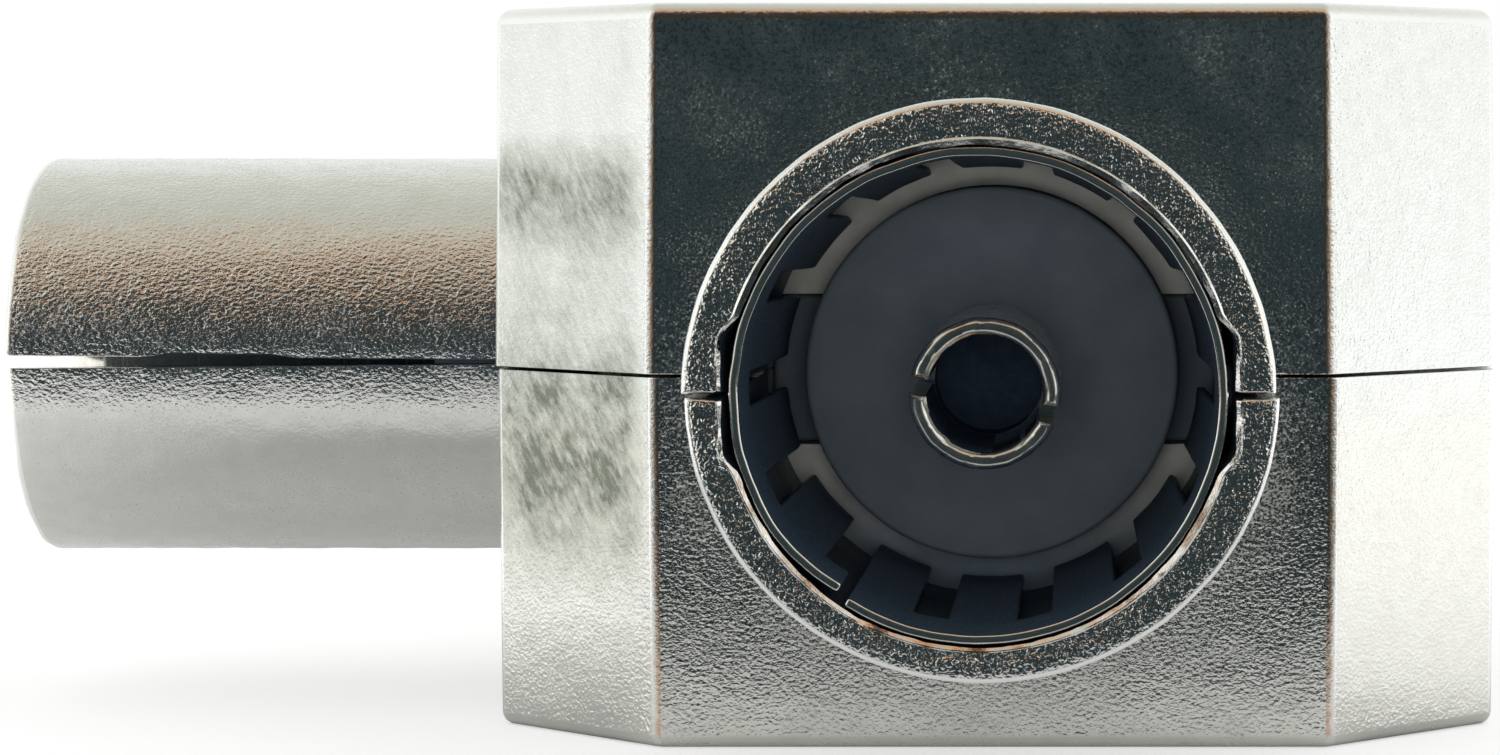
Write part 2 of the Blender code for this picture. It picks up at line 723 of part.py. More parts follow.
def chip(name, middle, finish=CERAMIC):
    """A chip component, soldered flat on the board."""
    half = Vector((CHIP_LENGTH, CHIP_WIDTH, CHIP_HEIGHT)) / 2
    return block(name, middle - half, middle + half, finish, corner=CHIP_HEIGHT / 10)


def circuit():
    circuit_board()
    ferrite_core("matching_core", -1)
    ferrite_core("splitting_core", 1)
    early, late = -LEAD_SPREAD, WINDING_TURNS + LEAD_SPREAD
    winding("matching_winding", -1, early, late, 0.0)
    winding("splitting_winding_a", 1, early, WINDING_TURNS - LEAD_SPREAD, -WIRE_PITCH / 4)
    winding("splitting_winding_b", 1, LEAD_SPREAD, late, WIRE_PITCH / 4)
    on_top = BOARD_TOP + FIT + CHIP_HEIGHT / 2
    column = LANE / 2 + CORE_WIDTH + CHIP_GAP + CHIP_LENGTH / 2
    row = CHIP_WIDTH + CHIP_GAP
    chip("balance_resistor", Vector((column, 0.0, on_top)), FERRITE)
    chip("front_capacitor", Vector((column, -row, on_top)))
    chip("rear_capacitor", Vector((column, row, on_top)))
    under = BOARD_BOTTOM - FIT - CHIP_HEIGHT / 2
    chip("input_capacitor", Vector((core_middle(-1).x, 0.0, under)))


castings()
for socket in ("front", "rear"):
    spring_sleeve(socket)
    socket_insulator(socket)
    socket_contact(socket)
plug_insulator()
plug_pin()
circuit()
bpy.context.view_layer.update()
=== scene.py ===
import math

import bmesh
import bpy
from mathutils import Matrix, Vector


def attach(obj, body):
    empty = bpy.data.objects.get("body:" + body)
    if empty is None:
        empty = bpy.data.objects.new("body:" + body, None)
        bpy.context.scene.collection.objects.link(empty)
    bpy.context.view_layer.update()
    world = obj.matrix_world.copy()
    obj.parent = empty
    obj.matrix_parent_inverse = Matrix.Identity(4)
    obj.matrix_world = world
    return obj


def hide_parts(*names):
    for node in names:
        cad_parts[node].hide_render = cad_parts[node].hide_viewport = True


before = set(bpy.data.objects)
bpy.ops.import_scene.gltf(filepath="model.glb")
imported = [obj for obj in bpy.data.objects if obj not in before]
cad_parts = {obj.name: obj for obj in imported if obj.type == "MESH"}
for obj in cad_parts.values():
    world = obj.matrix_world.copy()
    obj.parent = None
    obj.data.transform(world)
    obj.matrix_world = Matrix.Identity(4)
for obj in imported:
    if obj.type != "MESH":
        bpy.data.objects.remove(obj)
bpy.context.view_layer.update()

# The two castings
# Zinc alloy, die cast in two halves that meet at mid height, then plated with copper and nickel.
# Each half has half of the three barrels. Four pegs of the lower one are pressed into the upper one.
MM = 0.001
BODY_SIDE = 22.5 * MM
BODY_HEIGHT = 16.1 * MM
AXIS_Z = BODY_HEIGHT / 2
HALF_SIDE = BODY_SIDE / 2
CORNER_CHAMFER = 3.9 * MM
DRAFT = math.radians(0.5)
RIM_RADIUS = 0.35 * MM
FOOT_RADIUS = 0.3 * MM
CORNER_RADIUS = 0.13 * MM
PARTING_GAP = 0.06 * MM
PARTING_EDGE = 0.035 * MM
BARREL_ROOT = 0.55 * MM
SOCKET_MOUTH = 19.25 * MM
SOCKET_RADIUS = 5.86 * MM
SOCKET_BORE = 4.96 * MM
MOUTH_BORE = 4.88 * MM
SOCKET_SHOULDER = 8.05 * MM
SOCKET_SLIT = 0.05 * MM
RELIEF_HALF = 5.0 * MM
RELIEF_HEIGHT = 1.9 * MM
RELIEF_BLEND = 0.6 * MM
PLUG_MOUTH = 23.05 * MM
PLUG_RADIUS = 4.75 * MM
PLUG_BORE = 4.1 * MM
PLUG_SLIT_TIP = 0.24 * MM
PLUG_SLIT_ROOT = 0.03 * MM
SLIT_LIGHT = 3.2 * MM
NOTCH_START = 3.5 * MM
NOTCH_LENGTH = 3.1 * MM
NOTCH_DEPTH = 0.1 * MM
OUTER_LIP = 0.2 * MM
END_LIP = 0.14 * MM
INNER_LIP = 0.05 * MM
RING_PROFILE = {0.0: 0.045, 0.5: 0.045, 0.78: 0.045, 0.83: 0.0, 0.86: 0.0, 1.0: 0.1}
LOWER_RING_FLAT = 0.032
CASTING_LOOSE = 0.04 * MM
SET_OVER = 0.07 * MM
SLICE_PITCH = 0.3 * MM
SOCKET_SEAT = 5.4 * MM
BOSS_BORE = 4.11 * MM
CAVITY_SIDE = 4 * MM
GROOVE = (6.85 * MM, 5.59 * MM, 5.29 * MM)
KEYWAY = (8.11 * MM, 6.82 * MM, 4.99 * MM)
KEYWAY_HALF = 1.68 * MM
PLUG_SEAT = 4.4 * MM
PLUG_GROOVE = (9.6 * MM, 8.34 * MM, 5.03 * MM)
PLUG_OPENING = (9.0 * MM, 7.0 * MM, 3.6 * MM)
SHARP_ANGLE = 50.0
SMOOTH_ANGLE = 35.0


def select(piece):
    """Makes this the one selected and active object."""
    bpy.ops.object.select_all(action="DESELECT")
    bpy.context.view_layer.objects.active = piece
    piece.select_set(True)


def take(piece):
    """Makes this the one selected object, in edit mode, with nothing of it selected."""
    select(piece)
    bpy.ops.object.mode_set(mode="EDIT")
    bpy.ops.mesh.select_all(action="DESELECT")


def done():
    bpy.ops.object.mode_set(mode="OBJECT")


def pick(kind, wanted):
    """Selects the vertices, edges or faces of the piece in hand that pass a test."""
    bpy.ops.mesh.select_mode(type=kind)
    bpy.ops.mesh.select_all(action="DESELECT")
    mesh = bpy.context.object.data
    shape = bmesh.from_edit_mesh(mesh)
    parts = {"VERT": shape.verts, "EDGE": shape.edges, "FACE": shape.faces}[kind]
    for part in parts:
        if wanted(part):
            part.select_set(True)
    bmesh.update_edit_mesh(mesh)


def edge_ends(test):
    """A test that passes an edge when both its ends do."""
    return lambda edge: all(test(vert.co) for vert in edge.verts)


def near(value, target, slack=1e-6):
    return abs(value - target) < slack


def lies_along(edge, axis):
    return abs((edge.verts[1].co - edge.verts[0].co).normalized()[axis]) > 0.9


def add_block(low, high):
    low, high = Vector(low), Vector(high)
    bpy.ops.mesh.primitive_cube_add(size=1.0, location=(low + high) / 2, scale=high - low)
    bpy.ops.object.transform_apply(location=True, rotation=True, scale=True)
    return bpy.context.object


def add_grid(columns, rows):
    """A flat grid from -1 to 1 each way, to be wrapped into a half ring."""
    bpy.ops.mesh.primitive_grid_add(
        x_subdivisions=columns, y_subdivisions=rows, size=2.0, location=(0, 0, 0)
    )
    return bpy.context.object


def face_outwards():
    bpy.ops.mesh.select_all(action="SELECT")
    bpy.ops.mesh.normals_make_consistent(inside=False)


def draw_out(move):
    """Extrudes what is selected."""
    bpy.ops.mesh.extrude_region_move(TRANSFORM_OT_translate={"value": move})


def add_round(axis, start, end, radius, across=(0.0, AXIS_Z), steps=96, ends="NGON"):
    """A cylinder along X, Y or Z from start to end, about the ports' height unless told."""
    middle = (start + end) / 2
    place = {
        0: (middle, across[0], across[1]),
        1: (across[0], middle, across[1]),
        2: (across[0], across[1], middle),
    }[axis]
    turn = {0: (0.0, math.pi / 2, 0.0), 1: (math.pi / 2, 0.0, 0.0), 2: (0.0, 0.0, 0.0)}[axis]
    bpy.ops.mesh.primitive_cylinder_add(
        vertices=steps,
        radius=radius,
        depth=abs(end - start),
        end_fill_type=ends,
        location=place,
        rotation=turn,
    )
    bpy.ops.object.transform_apply(location=True, rotation=True, scale=True)
    return bpy.context.object


def finish_modifier(piece, modifier):
    select(piece)
    bpy.ops.object.modifier_apply(modifier=modifier.name)


def combine(piece, tool, operation="DIFFERENCE"):
    """Cuts piece with tool, or joins them, and clears the tool away."""
    if len(piece.data.materials) > 1 and not tool.data.materials:
        plate(tool, BORE)
    change = piece.modifiers.new("combine", "BOOLEAN")
    change.operation = operation
    change.solver = "MANIFOLD"
    change.object = tool
    finish_modifier(piece, change)
    bpy.data.objects.remove(tool)


def coat(piece, finish):
    """Gives the whole piece one finish, whatever its cutters left in its slots."""
    piece.data.materials.clear()
    piece.data.materials.append(finish)
    for face in piece.data.polygons:
        face.material_index = 0


def round_edges(piece, width, segments):
    edge = piece.modifiers.new("edge", "BEVEL")
    edge.width = width
    edge.segments = segments
    edge.angle_limit = math.radians(SHARP_ANGLE)
    edge.use_clamp_overlap = False
    finish_modifier(piece, edge)


def smooth(piece):
    select(piece)
    bpy.ops.object.shade_smooth_by_angle(angle=math.radians(SMOOTH_ANGLE))
    weigh = piece.modifiers.new("weigh", "WEIGHTED_NORMAL")
    weigh.keep_sharp = True
    weigh.weight = 80
    finish_modifier(piece, weigh)


def roughen(piece, strength, size, group=None):
    """Draws the surface in by up to strength, as the skin of a casting is never quite true."""
    pattern = bpy.data.textures.new("cast_skin", "CLOUDS")
    pattern.noise_scale = size
    pattern.noise_depth = 2
    uneven = piece.modifiers.new("uneven", "DISPLACE")
    uneven.texture = pattern
    uneven.texture_coords = "LOCAL"
    uneven.strength = strength
    uneven.mid_level = 1.0
    if group:
        uneven.vertex_group = group
    finish_modifier(piece, uneven)


def slice_across(axis, start, end, pitch):
    """Adds rings of edges across the piece in hand, so that its long edges can waver."""
    normal = [0.0, 0.0, 0.0]
    normal[axis] = 1.0
    for step in range(1, int(abs(end - start) / pitch)):
        place = [0.0, 0.0, 0.0]
        place[axis] = start + math.copysign(step * pitch, end - start)
        bpy.ops.mesh.select_all(action="SELECT")
        bpy.ops.mesh.bisect(plane_co=place, plane_no=normal)


def new_finish(name):
    made = bpy.data.materials.new(name)
    made.use_nodes = True
    return made, made.node_tree, made.node_tree.nodes["Principled BSDF"]


def add_node(tree, kind, values=None, **settings):
    made = tree.nodes.new("ShaderNode" + kind)
    for name, value in settings.items():
        setattr(made, name, value)
    for name, value in (values or {}).items():
        made.inputs[name].default_value = value
    return made


def feed(tree, value, socket):
    """Links a socket's value, or sets it where it is a plain number."""
    if isinstance(value, float):
        socket.default_value = value
    else:
        tree.links.new(value, socket)


def maths(tree, operation, *values):
    made = add_node(tree, "Math", operation=operation)
    for value, socket in zip(values, made.inputs):
        feed(tree, value, socket)
    return made.outputs[0]


def span(tree, source, start, end, low=0.0, high=1.0):
    """Goes from low to high as the source goes from start to end."""
    made = add_node(
        tree,
        "MapRange",
        {"From Min": start, "From Max": end, "To Min": low, "To Max": high},
    )
    feed(tree, source, made.inputs["Value"])
    return made.outputs[0]


def axes_of(tree):
    """The place on the object, as X, Y and Z."""
    place = add_node(tree, "TexCoord")
    axes = add_node(tree, "SeparateXYZ")
    feed(tree, place.outputs["Object"], axes.inputs[0])
    return axes.outputs


def on_face(tree):
    """One on the front and the rear face, and nought elsewhere."""
    aside = maths(tree, "ABSOLUTE", axes_of(tree)["Y"])
    return span(tree, aside, 11.1 * MM, 11.16 * MM)


def multiplied(tree, colour, by):
    made = add_node(tree, "VectorMath", operation="MULTIPLY")
    feed(tree, colour, made.inputs[0])
    feed(tree, by, made.inputs[1])
    return made.outputs[0]


def noise(tree, grain, detail=3.0, roughness=0.55, stretch=None, turn=0.0):
    """Noise whose lumps are about one grain across, in metres."""
    place = add_node(tree, "TexCoord")
    made = add_node(
        tree,
        "TexNoise",
        {"Scale": 1.0 / grain, "Detail": detail, "Roughness": roughness},
    )
    if stretch:
        lean = add_node(tree, "Mapping", {"Rotation": (turn, turn, 0.0)})
        squeeze = add_node(tree, "Mapping", {"Scale": stretch})
        feed(tree, place.outputs["Object"], lean.inputs["Vector"])
        feed(tree, lean.outputs["Vector"], squeeze.inputs["Vector"])
        feed(tree, squeeze.outputs["Vector"], made.inputs["Vector"])
    else:
        feed(tree, place.outputs["Object"], made.inputs["Vector"])
    return made.outputs["Fac"]


def ramp(tree, source, stops):
    """Colours or greys between stops of (place, colour)."""
    made = add_node(tree, "ValToRGB")
    points = made.color_ramp.elements
    while len(points) < len(stops):
        points.new(0.5)
    for point, (place, colour) in zip(points, stops):
        point.position = place
        point.color = (*colour, 1.0)
    feed(tree, source, made.inputs["Fac"])
    return made.outputs["Color"]


def paint(tree, shader, socket, source, stops):
    """Lets a colour or a roughness of the shader follow a pattern."""
    feed(tree, ramp(tree, source, stops), shader.inputs[socket])


def grey(value):
    return (value, value, value)


def bumps(tree, shader, layers):
    """Stacks bumps of (height, distance in metres) on the shader."""
    below = None
    for height, distance in layers:
        made = add_node(tree, "Bump", {"Strength": 1.0})
        feed(tree, height, made.inputs["Height"])
        feed(tree, distance, made.inputs["Distance"])
        if below:
            feed(tree, below, made.inputs["Normal"])
        below = made.outputs["Normal"]
    feed(tree, below, shader.inputs["Normal"])


CLOUDY = [(0.35, (0.0, 0.0, 0.0)), (0.65, (1.0, 1.0, 1.0))]


def cast_nickel():
    """Bright nickel over the fine grain of a die casting, with duller specks in drifts."""
    made, tree, shader = new_finish("cast_nickel")
    shader.inputs["Metallic"].default_value = 1.0
    grain = noise(tree, 0.08 * MM, 2.0, 0.5, stretch=(0.75, 1.0, 1.0))
    lumps = noise(tree, 0.5 * MM, 2.0)
    waves = noise(tree, 2.6 * MM, 2.0)
    specks = noise(tree, 0.06 * MM, 2.0, 0.6)
    drifts = noise(tree, 1.7 * MM, 3.0, 0.6)
    cloud = maths(tree, "MULTIPLY_ADD", drifts, 0.5, specks)
    place = add_node(tree, "TexCoord")
    from_port = add_node(
        tree,
        "VectorMath",
        {1: (1.0, 0.0, 1.0), 2: (0.0, 0.0, 1.5 * MM - AXIS_Z)},
        operation="MULTIPLY_ADD",
    )
    feed(tree, place.outputs["Object"], from_port.inputs[0])
    radius = add_node(tree, "VectorMath", operation="LENGTH")
    feed(tree, from_port.outputs[0], radius.inputs[0])
    halo = span(tree, radius.outputs["Value"], 7.6 * MM, 6.0 * MM, 0.0, 0.08)
    calm, even, coarse = grain_places(tree, radius.outputs["Value"])
    soft = maths(tree, "MULTIPLY", calm, ramp(tree, drifts, CLOUDY))
    dull = maths(tree, "ADD", cloud, halo)
    dull = maths(tree, "MULTIPLY_ADD", calm, -0.1, dull)
    strength = maths(tree, "MULTIPLY_ADD", calm, -0.6, 1.0)
    strength = maths(tree, "MULTIPLY_ADD", even, -0.8, strength)
    strength = maths(tree, "MULTIPLY_ADD", coarse, 0.4, strength)
    depth = maths(tree, "MULTIPLY", strength, 0.029 * MM)
    layers = [(waves, 0.03 * MM), (lumps, 0.012 * MM), (grain, depth), (dull, 0.005 * MM)]
    bumps(tree, shader, layers)
    polish = ramp(tree, dull, [(0.78, grey(0.10)), (0.88, grey(0.19)), (0.98, grey(0.5))])
    polish = maths(tree, "MULTIPLY_ADD", soft, 0.13, polish)
    feed(tree, polish, shader.inputs["Roughness"])
    tint = ramp(tree, lumps, [(0.3, (0.90, 0.91, 0.88)), (0.7, (0.95, 0.965, 0.94))])
    z = axes_of(tree)["Z"]
    warmth = ramp(
        tree,
        span(tree, z, 0.0, BODY_HEIGHT),
        [(0.42, (0.988, 0.97, 0.94)), (0.5, (1.0, 1.0, 1.0))],
    )
    pits = ramp(tree, specks, [(0.36, grey(0.5)), (0.52, grey(0.0))])
    face = on_face(tree)
    darkened = maths(tree, "MULTIPLY", face, span(tree, z, 0.6 * MM, 2.6 * MM))
    pits = maths(tree, "MULTIPLY", pits, darkened)
    # Painted shade: the lower half of the plug is a tenth darker. The pits darken the front and rear
    # faces.
    keep = maths(tree, "MULTIPLY_ADD", even, -0.1, 1.0)
    keep = maths(tree, "SUBTRACT", keep, pits)
    # The corner streaks and the slightly warmer lower casting change the tint.
    for tint_change in (corner_streaks(tree), warmth):
        tint = multiplied(tree, tint, tint_change)
    darkened = add_node(tree, "VectorMath", operation="SCALE")
    feed(tree, tint, darkened.inputs[0])
    feed(tree, keep, darkened.inputs["Scale"])
    feed(tree, darkened.outputs[0], shader.inputs["Base Color"])
    return made


def grain_places(tree, from_port):
    """Where the grain is calm (round a socket, at the foot, on the corners), even (under the plug)
    and coarse (on the plug's front)."""
    x, _, z = axes_of(tree)
    face = on_face(tree)
    outside = span(tree, from_port, 6.4 * MM, 9.2 * MM)
    tall = span(tree, z, 0.0, BODY_HEIGHT)
    tall = ramp(tree, tall, [(0.45, grey(0.72)), (0.62, grey(0.6)), (0.78, grey(1.0))])
    foot = span(tree, z, 3.0 * MM, 0.8 * MM)
    calm = maths(tree, "MULTIPLY", outside, tall)
    calm = maths(tree, "MULTIPLY", face, maths(tree, "MAXIMUM", calm, foot))
    aside = maths(tree, "ABSOLUTE", x)
    corner = span(tree, aside, 7.4 * MM, 7.6 * MM, 0.0, 0.85)
    corner = maths(tree, "MULTIPLY", corner, span(tree, aside, 11.5 * MM, 11.3 * MM))
    calm = maths(tree, "MAXIMUM", calm, corner)
    plug = span(tree, x, -11.3 * MM, -11.9 * MM)
    even = maths(tree, "MULTIPLY", plug, span(tree, z, 7.5 * MM, 6.7 * MM))
    coarse = maths(tree, "MULTIPLY", plug, span(tree, z, 8.1 * MM, 9.0 * MM))
    coarse = maths(tree, "MULTIPLY", coarse, span(tree, z, 11.6 * MM, 10.2 * MM))
    return calm, even, coarse


def corner_streaks(tree):
    """Streaky grey patches on the corner beside the plug, strongest in two bands of height, about 5.5 to
    7.6 mm and 11.6 to 12.4 mm above the foot.
    """
    x, y, z = axes_of(tree)
    corner = span(tree, x, -7.3 * MM, -7.9 * MM)
    front = span(tree, y, -7.0 * MM, -7.6 * MM)
    where = ramp(
        tree,
        span(tree, z, 0.0, BODY_HEIGHT),
        [
            (0.18, grey(0.0)),
            (0.34, grey(1.0)),
            (0.47, grey(0.85)),
            (0.55, grey(0.4)),
            (0.65, grey(0.3)),
            (0.72, grey(0.7)),
            (0.77, grey(0.75)),
            (0.83, grey(0.1)),
        ],
    )
    drift = noise(tree, 1.4 * MM, 3.0, 0.6)
    streaks = noise(tree, 0.16 * MM, 4.0, 0.7, stretch=(1.0, 1.0, 0.35), turn=0.5)
    mark = corner
    for part in (front, where, drift, streaks):
        mark = maths(tree, "MULTIPLY", mark, part)
    stops = [(0.0, grey(1.0)), (0.1, (0.7, 0.71, 0.67)), (0.3, (0.22, 0.235, 0.20))]
    return ramp(tree, mark, stops)


def bore_nickel(name, dark, light, metallic):
    """Thin, dull plating, as deep in the bores, with painted shade: darker low down where little light
    falls.
    """
    made, tree, shader = new_finish(name)
    shader.inputs["Metallic"].default_value = metallic
    grain = noise(tree, 0.06 * MM, 2.0)
    lumps = noise(tree, 0.7 * MM, 2.0)
    bumps(tree, shader, [(lumps, 0.01 * MM), (grain, 0.004 * MM)])
    tint = ramp(tree, lumps, [(0.3, dark), (0.7, light)])
    low = span(tree, axes_of(tree)["Z"], AXIS_Z - 2.0 * MM, AXIS_Z - 4.2 * MM)
    shade = ramp(tree, low, [(0.0, grey(1.0)), (1.0, (0.28, 0.36, 0.46))])
    feed(tree, multiplied(tree, tint, shade), shader.inputs["Base Color"])
    paint(tree, shader, "Roughness", grain, [(0.3, grey(0.38)), (0.7, grey(0.55))])
    return made


def burnished_nickel():
    """The lips and edges, rubbed bright. The copper-brown on the part of each rounding that faces the
    viewer is a painted reflection, broken up at random.
    """
    made, tree, shader = new_finish("burnished_nickel")
    shader.inputs["Metallic"].default_value = 1.0
    grain = noise(tree, 0.06 * MM, 3.0)
    lumps = noise(tree, 0.3 * MM, 3.0)
    bumps(tree, shader, [(lumps, 0.012 * MM), (grain, 0.008 * MM)])
    # Painted reflection: copper-brown where a rounding faces the viewer, pale nickel where it turns away.
    facing = add_node(tree, "LayerWeight", {"Blend": 0.5})
    painted_copper_sheen = maths(tree, "MULTIPLY_ADD", lumps, 0.3, facing.outputs["Facing"])
    tones = [(0.20, (0.86, 0.64, 0.48)), (0.27, (0.94, 0.91, 0.86)), (0.38, (0.98, 0.98, 0.96))]
    paint(tree, shader, "Base Color", painted_copper_sheen, tones)
    paint(tree, shader, "Roughness", grain, [(0.35, grey(0.1)), (0.7, grey(0.24))])
    return made


def mouth_nickel():
    """The ends of the sockets, as cast: dark between bright grains."""
    made, tree, shader = new_finish("mouth_nickel")
    shader.inputs["Metallic"].default_value = 1.0
    grain = noise(tree, 0.085 * MM, 1.0)
    lumps = noise(tree, 0.8 * MM, 2.0)
    bumps(tree, shader, [(lumps, 0.03 * MM), (grain, 0.055 * MM)])
    paint(tree, shader, "Base Color", lumps, [(0.3, (0.84, 0.85, 0.80)), (0.7, (0.95, 0.96, 0.93))])
    shader.inputs["Roughness"].default_value = 0.1
    return made


CASTING_FINISHES = (
    cast_nickel(),
    bore_nickel("bore_nickel", (0.39, 0.385, 0.35), (0.48, 0.475, 0.44), 0.6),
    # shaded_bore is painted shade: near-black plating for the faces deep in the sockets and the plug,
    # where little light reaches.
    bore_nickel("shaded_bore", (0.03, 0.045, 0.06), (0.045, 0.06, 0.08), 0.35),
    burnished_nickel(),
    mouth_nickel(),
)
SKIN, BORE, SHADED, EDGE, MOUTH = range(len(CASTING_FINISHES))


def plate(piece, finish):
    """Gives a piece of casting, or a tool that cuts one, all the casting's finishes."""
    for made in CASTING_FINISHES:
        piece.data.materials.append(made)
    for face in piece.data.polygons:
        face.material_index = finish


def burnish_selected():
    """The faces that a bevel leaves selected are lips or edges."""
    mesh = bpy.context.object.data
    shape = bmesh.from_edit_mesh(mesh)
    for face in shape.faces:
        if face.select:
            face.material_index = EDGE
    bmesh.update_edit_mesh(mesh)


def half_block(side):
    """The octagonal block of one casting, drafted and with its edges rounded."""
    near_z = AXIS_Z + side * PARTING_GAP / 2
    outer_z = AXIS_Z + side * BODY_HEIGHT / 2
    low = (-HALF_SIDE, -HALF_SIDE, min(near_z, outer_z))
    piece = add_block(low, (HALF_SIDE, HALF_SIDE, max(near_z, outer_z)))
    plate(piece, SKIN)
    take(piece)
    pick("EDGE", lambda edge: lies_along(edge, 2))
    bpy.ops.mesh.bevel(offset=CORNER_CHAMFER, segments=1, affect="EDGES")
    pick("VERT", lambda vert: near(vert.co.z, outer_z))
    taper = 1 - AXIS_Z * math.tan(DRAFT) / HALF_SIDE
    bpy.ops.transform.resize(value=(taper, taper, 1.0), center_override=(0.0, 0.0, outer_z))
    pick("EDGE", lambda edge: lies_along(edge, 2))
    bpy.ops.mesh.bevel(offset=CORNER_RADIUS, segments=3, affect="EDGES")
    burnish_selected()
    pick("EDGE", edge_ends(lambda place: near(place.z, outer_z)))
    if side > 0:
        bpy.ops.mesh.bevel(offset=RIM_RADIUS, segments=6, affect="EDGES")
        burnish_selected()
    else:
        bpy.ops.mesh.bevel(offset=FOOT_RADIUS, segments=4, affect="EDGES")
    pick("EDGE", edge_ends(lambda place: near(place.z, near_z)))
    bpy.ops.mesh.bevel(offset=PARTING_EDGE, segments=2, affect="EDGES")
    done()
    if side < 0:
        set_over(piece)
    return piece


def set_over(piece):
    """The lower casting lies a little to the right of the upper one, except at its right side."""
    for vert in piece.data.vertices:
        past = (HALF_SIDE - vert.co.x) / CORNER_CHAMFER
        vert.co.x += SET_OVER * min(max(past, 0.0), 1.0)


def half_barrel(side, port, sign):
    """Half of a barrel, from just inside the body to its mouth, with its lips rounded.

    A grid is wrapped into the half ring that a cut across the barrel shows: its rows run round the
    barrel and its columns across the wall. Then the ring is drawn out along the barrel.
    """
    if port == "socket":
        axis, mouth, outer, bore, columns = 1, SOCKET_MOUTH, SOCKET_RADIUS, MOUTH_BORE, 132
        slits = (SOCKET_SLIT / 2, SOCKET_SLIT / 2)
        rows = list(RING_PROFILE)
    else:
        axis, mouth, outer, bore, columns = 0, PLUG_MOUTH, PLUG_RADIUS, PLUG_BORE, 72
        slits = (PLUG_SLIT_TIP / 2, PLUG_SLIT_ROOT / 2)
        rows = (0.0, 0.5, 1.0)
    cross = 1 - axis
    root = HALF_SIDE - BARREL_ROOT
    piece = add_grid(columns, len(rows) - 1)
    first = 1.3 * END_LIP / (math.pi * bore)
    recess = []
    for vert in piece.data.vertices:
        column = round((vert.co.x + 1) / 2 * columns)
        share = first + (1 - 2 * first) * (column - 1) / (columns - 2)
        share = {0: 0.0, columns: 1.0}.get(column, share)
        row = rows[round((vert.co.y + 1) / 2 * (len(rows) - 1))]
        angle = math.pi * share
        past = (bore * math.sin(angle) - RELIEF_HEIGHT / 2) / RELIEF_BLEND
        pocket = 1 - min(max(past, 0.0), 1.0) if port == "socket" else 0.0
        pocket = pocket * pocket * (3 - 2 * pocket)
        inner = bore + pocket * (RELIEF_HALF / max(abs(math.cos(angle)), 0.9) - bore)
        radius = outer + (inner - outer) * row
        start = math.asin(slits[0] / radius)
        angle = start + (math.pi - 2 * start) * share
        vert.co[axis] = sign * mouth
        vert.co[cross] = radius * math.cos(angle)
        vert.co[2] = AXIS_Z + side * radius * math.sin(angle)
        recess.append(RING_PROFILE[row] * MM if port == "socket" else 0.0)
    take(piece)
    face_outwards()
    done()
    mouth_face = piece.data.polygons[0].normal[axis] * sign > 0
    prism = piece.modifiers.new("length", "SOLIDIFY")
    prism.thickness = mouth - root
    prism.offset = -1.0 if mouth_face else 1.0
    finish_modifier(piece, prism)
    for vert, depth in zip(piece.data.vertices, recess):
        vert.co[axis] -= sign * depth
    for vert in piece.data.vertices:
        if abs(vert.co[axis]) < mouth - MM:
            vert.co[axis] = sign * root
            if near(abs(vert.co.z - AXIS_Z), slits[0], 0.01 * MM):
                vert.co.z = AXIS_Z + side * slits[1]
    if side < 0:
        for vert in piece.data.vertices:
            away = math.hypot(vert.co[cross], vert.co.z - AXIS_Z)
            share = (away - bore) / (outer - bore) if port == "socket" else 1.0
            share = min(max(share, 0.0), 1.0)
            vert.co.x += SET_OVER * share
            if port == "socket":
                vert.co.z = AXIS_Z + (vert.co.z - AXIS_Z) * (1 - LOWER_RING_FLAT * share)
    plate(piece, SKIN)
    take(piece)
    face_outwards()
    done()
    weigh_lips(piece, axis, sign * mouth, (bore + outer) / 2)
    round_lips(piece, OUTER_LIP, EDGE)
    take(piece)
    slice_across(axis, sign * (mouth + 0.06 * MM), sign * root, SLICE_PITCH)
    done()
    if port == "socket":
        for vert in piece.data.vertices:
            away = Vector((vert.co.x, vert.co.z - AXIS_Z))
            if abs(vert.co.y) < mouth - 0.2 * MM and away.length < SOCKET_BORE:
                away *= SOCKET_BORE / away.length
                vert.co.x = away.x
                vert.co.z = AXIS_Z + away.y
        for face in piece.data.polygons:
            away = math.hypot(face.center.x, face.center.z - AXIS_Z)
            if abs(face.center.y) > mouth - 0.15 * MM and away < bore + 0.22 * MM:
                face.material_index = EDGE
            elif abs(face.normal.y) > 0.9:
                face.material_index = MOUTH
    else:
        # Painted shade: the plug's bore, and the slit's faces deeper than SLIT_LIGHT from the mouth, take
        # the near-black shaded finish.
        for face in piece.data.polygons:
            in_slit = abs(face.center.z - AXIS_Z) < 0.13 * MM
            away = math.hypot(face.center.y, face.center.z - AXIS_Z)
            inside = away < bore + 0.1 * MM and abs(face.center.x) < mouth - 0.3 * MM
            if inside or in_slit and abs(face.center.x) < mouth - SLIT_LIGHT:
                face.material_index = SHADED
    if port == "plug" and side > 0:
        notch(piece)
    lip = piece.vertex_groups.new(name="inner_lip")
    for vert in piece.data.vertices:
        away = math.hypot(vert.co[cross], vert.co.z - AXIS_Z)
        if abs(vert.co[axis]) > mouth - 0.5 * MM and away < bore + 0.3 * MM:
            lip.add([vert.index], 1.0, "REPLACE")
    return piece


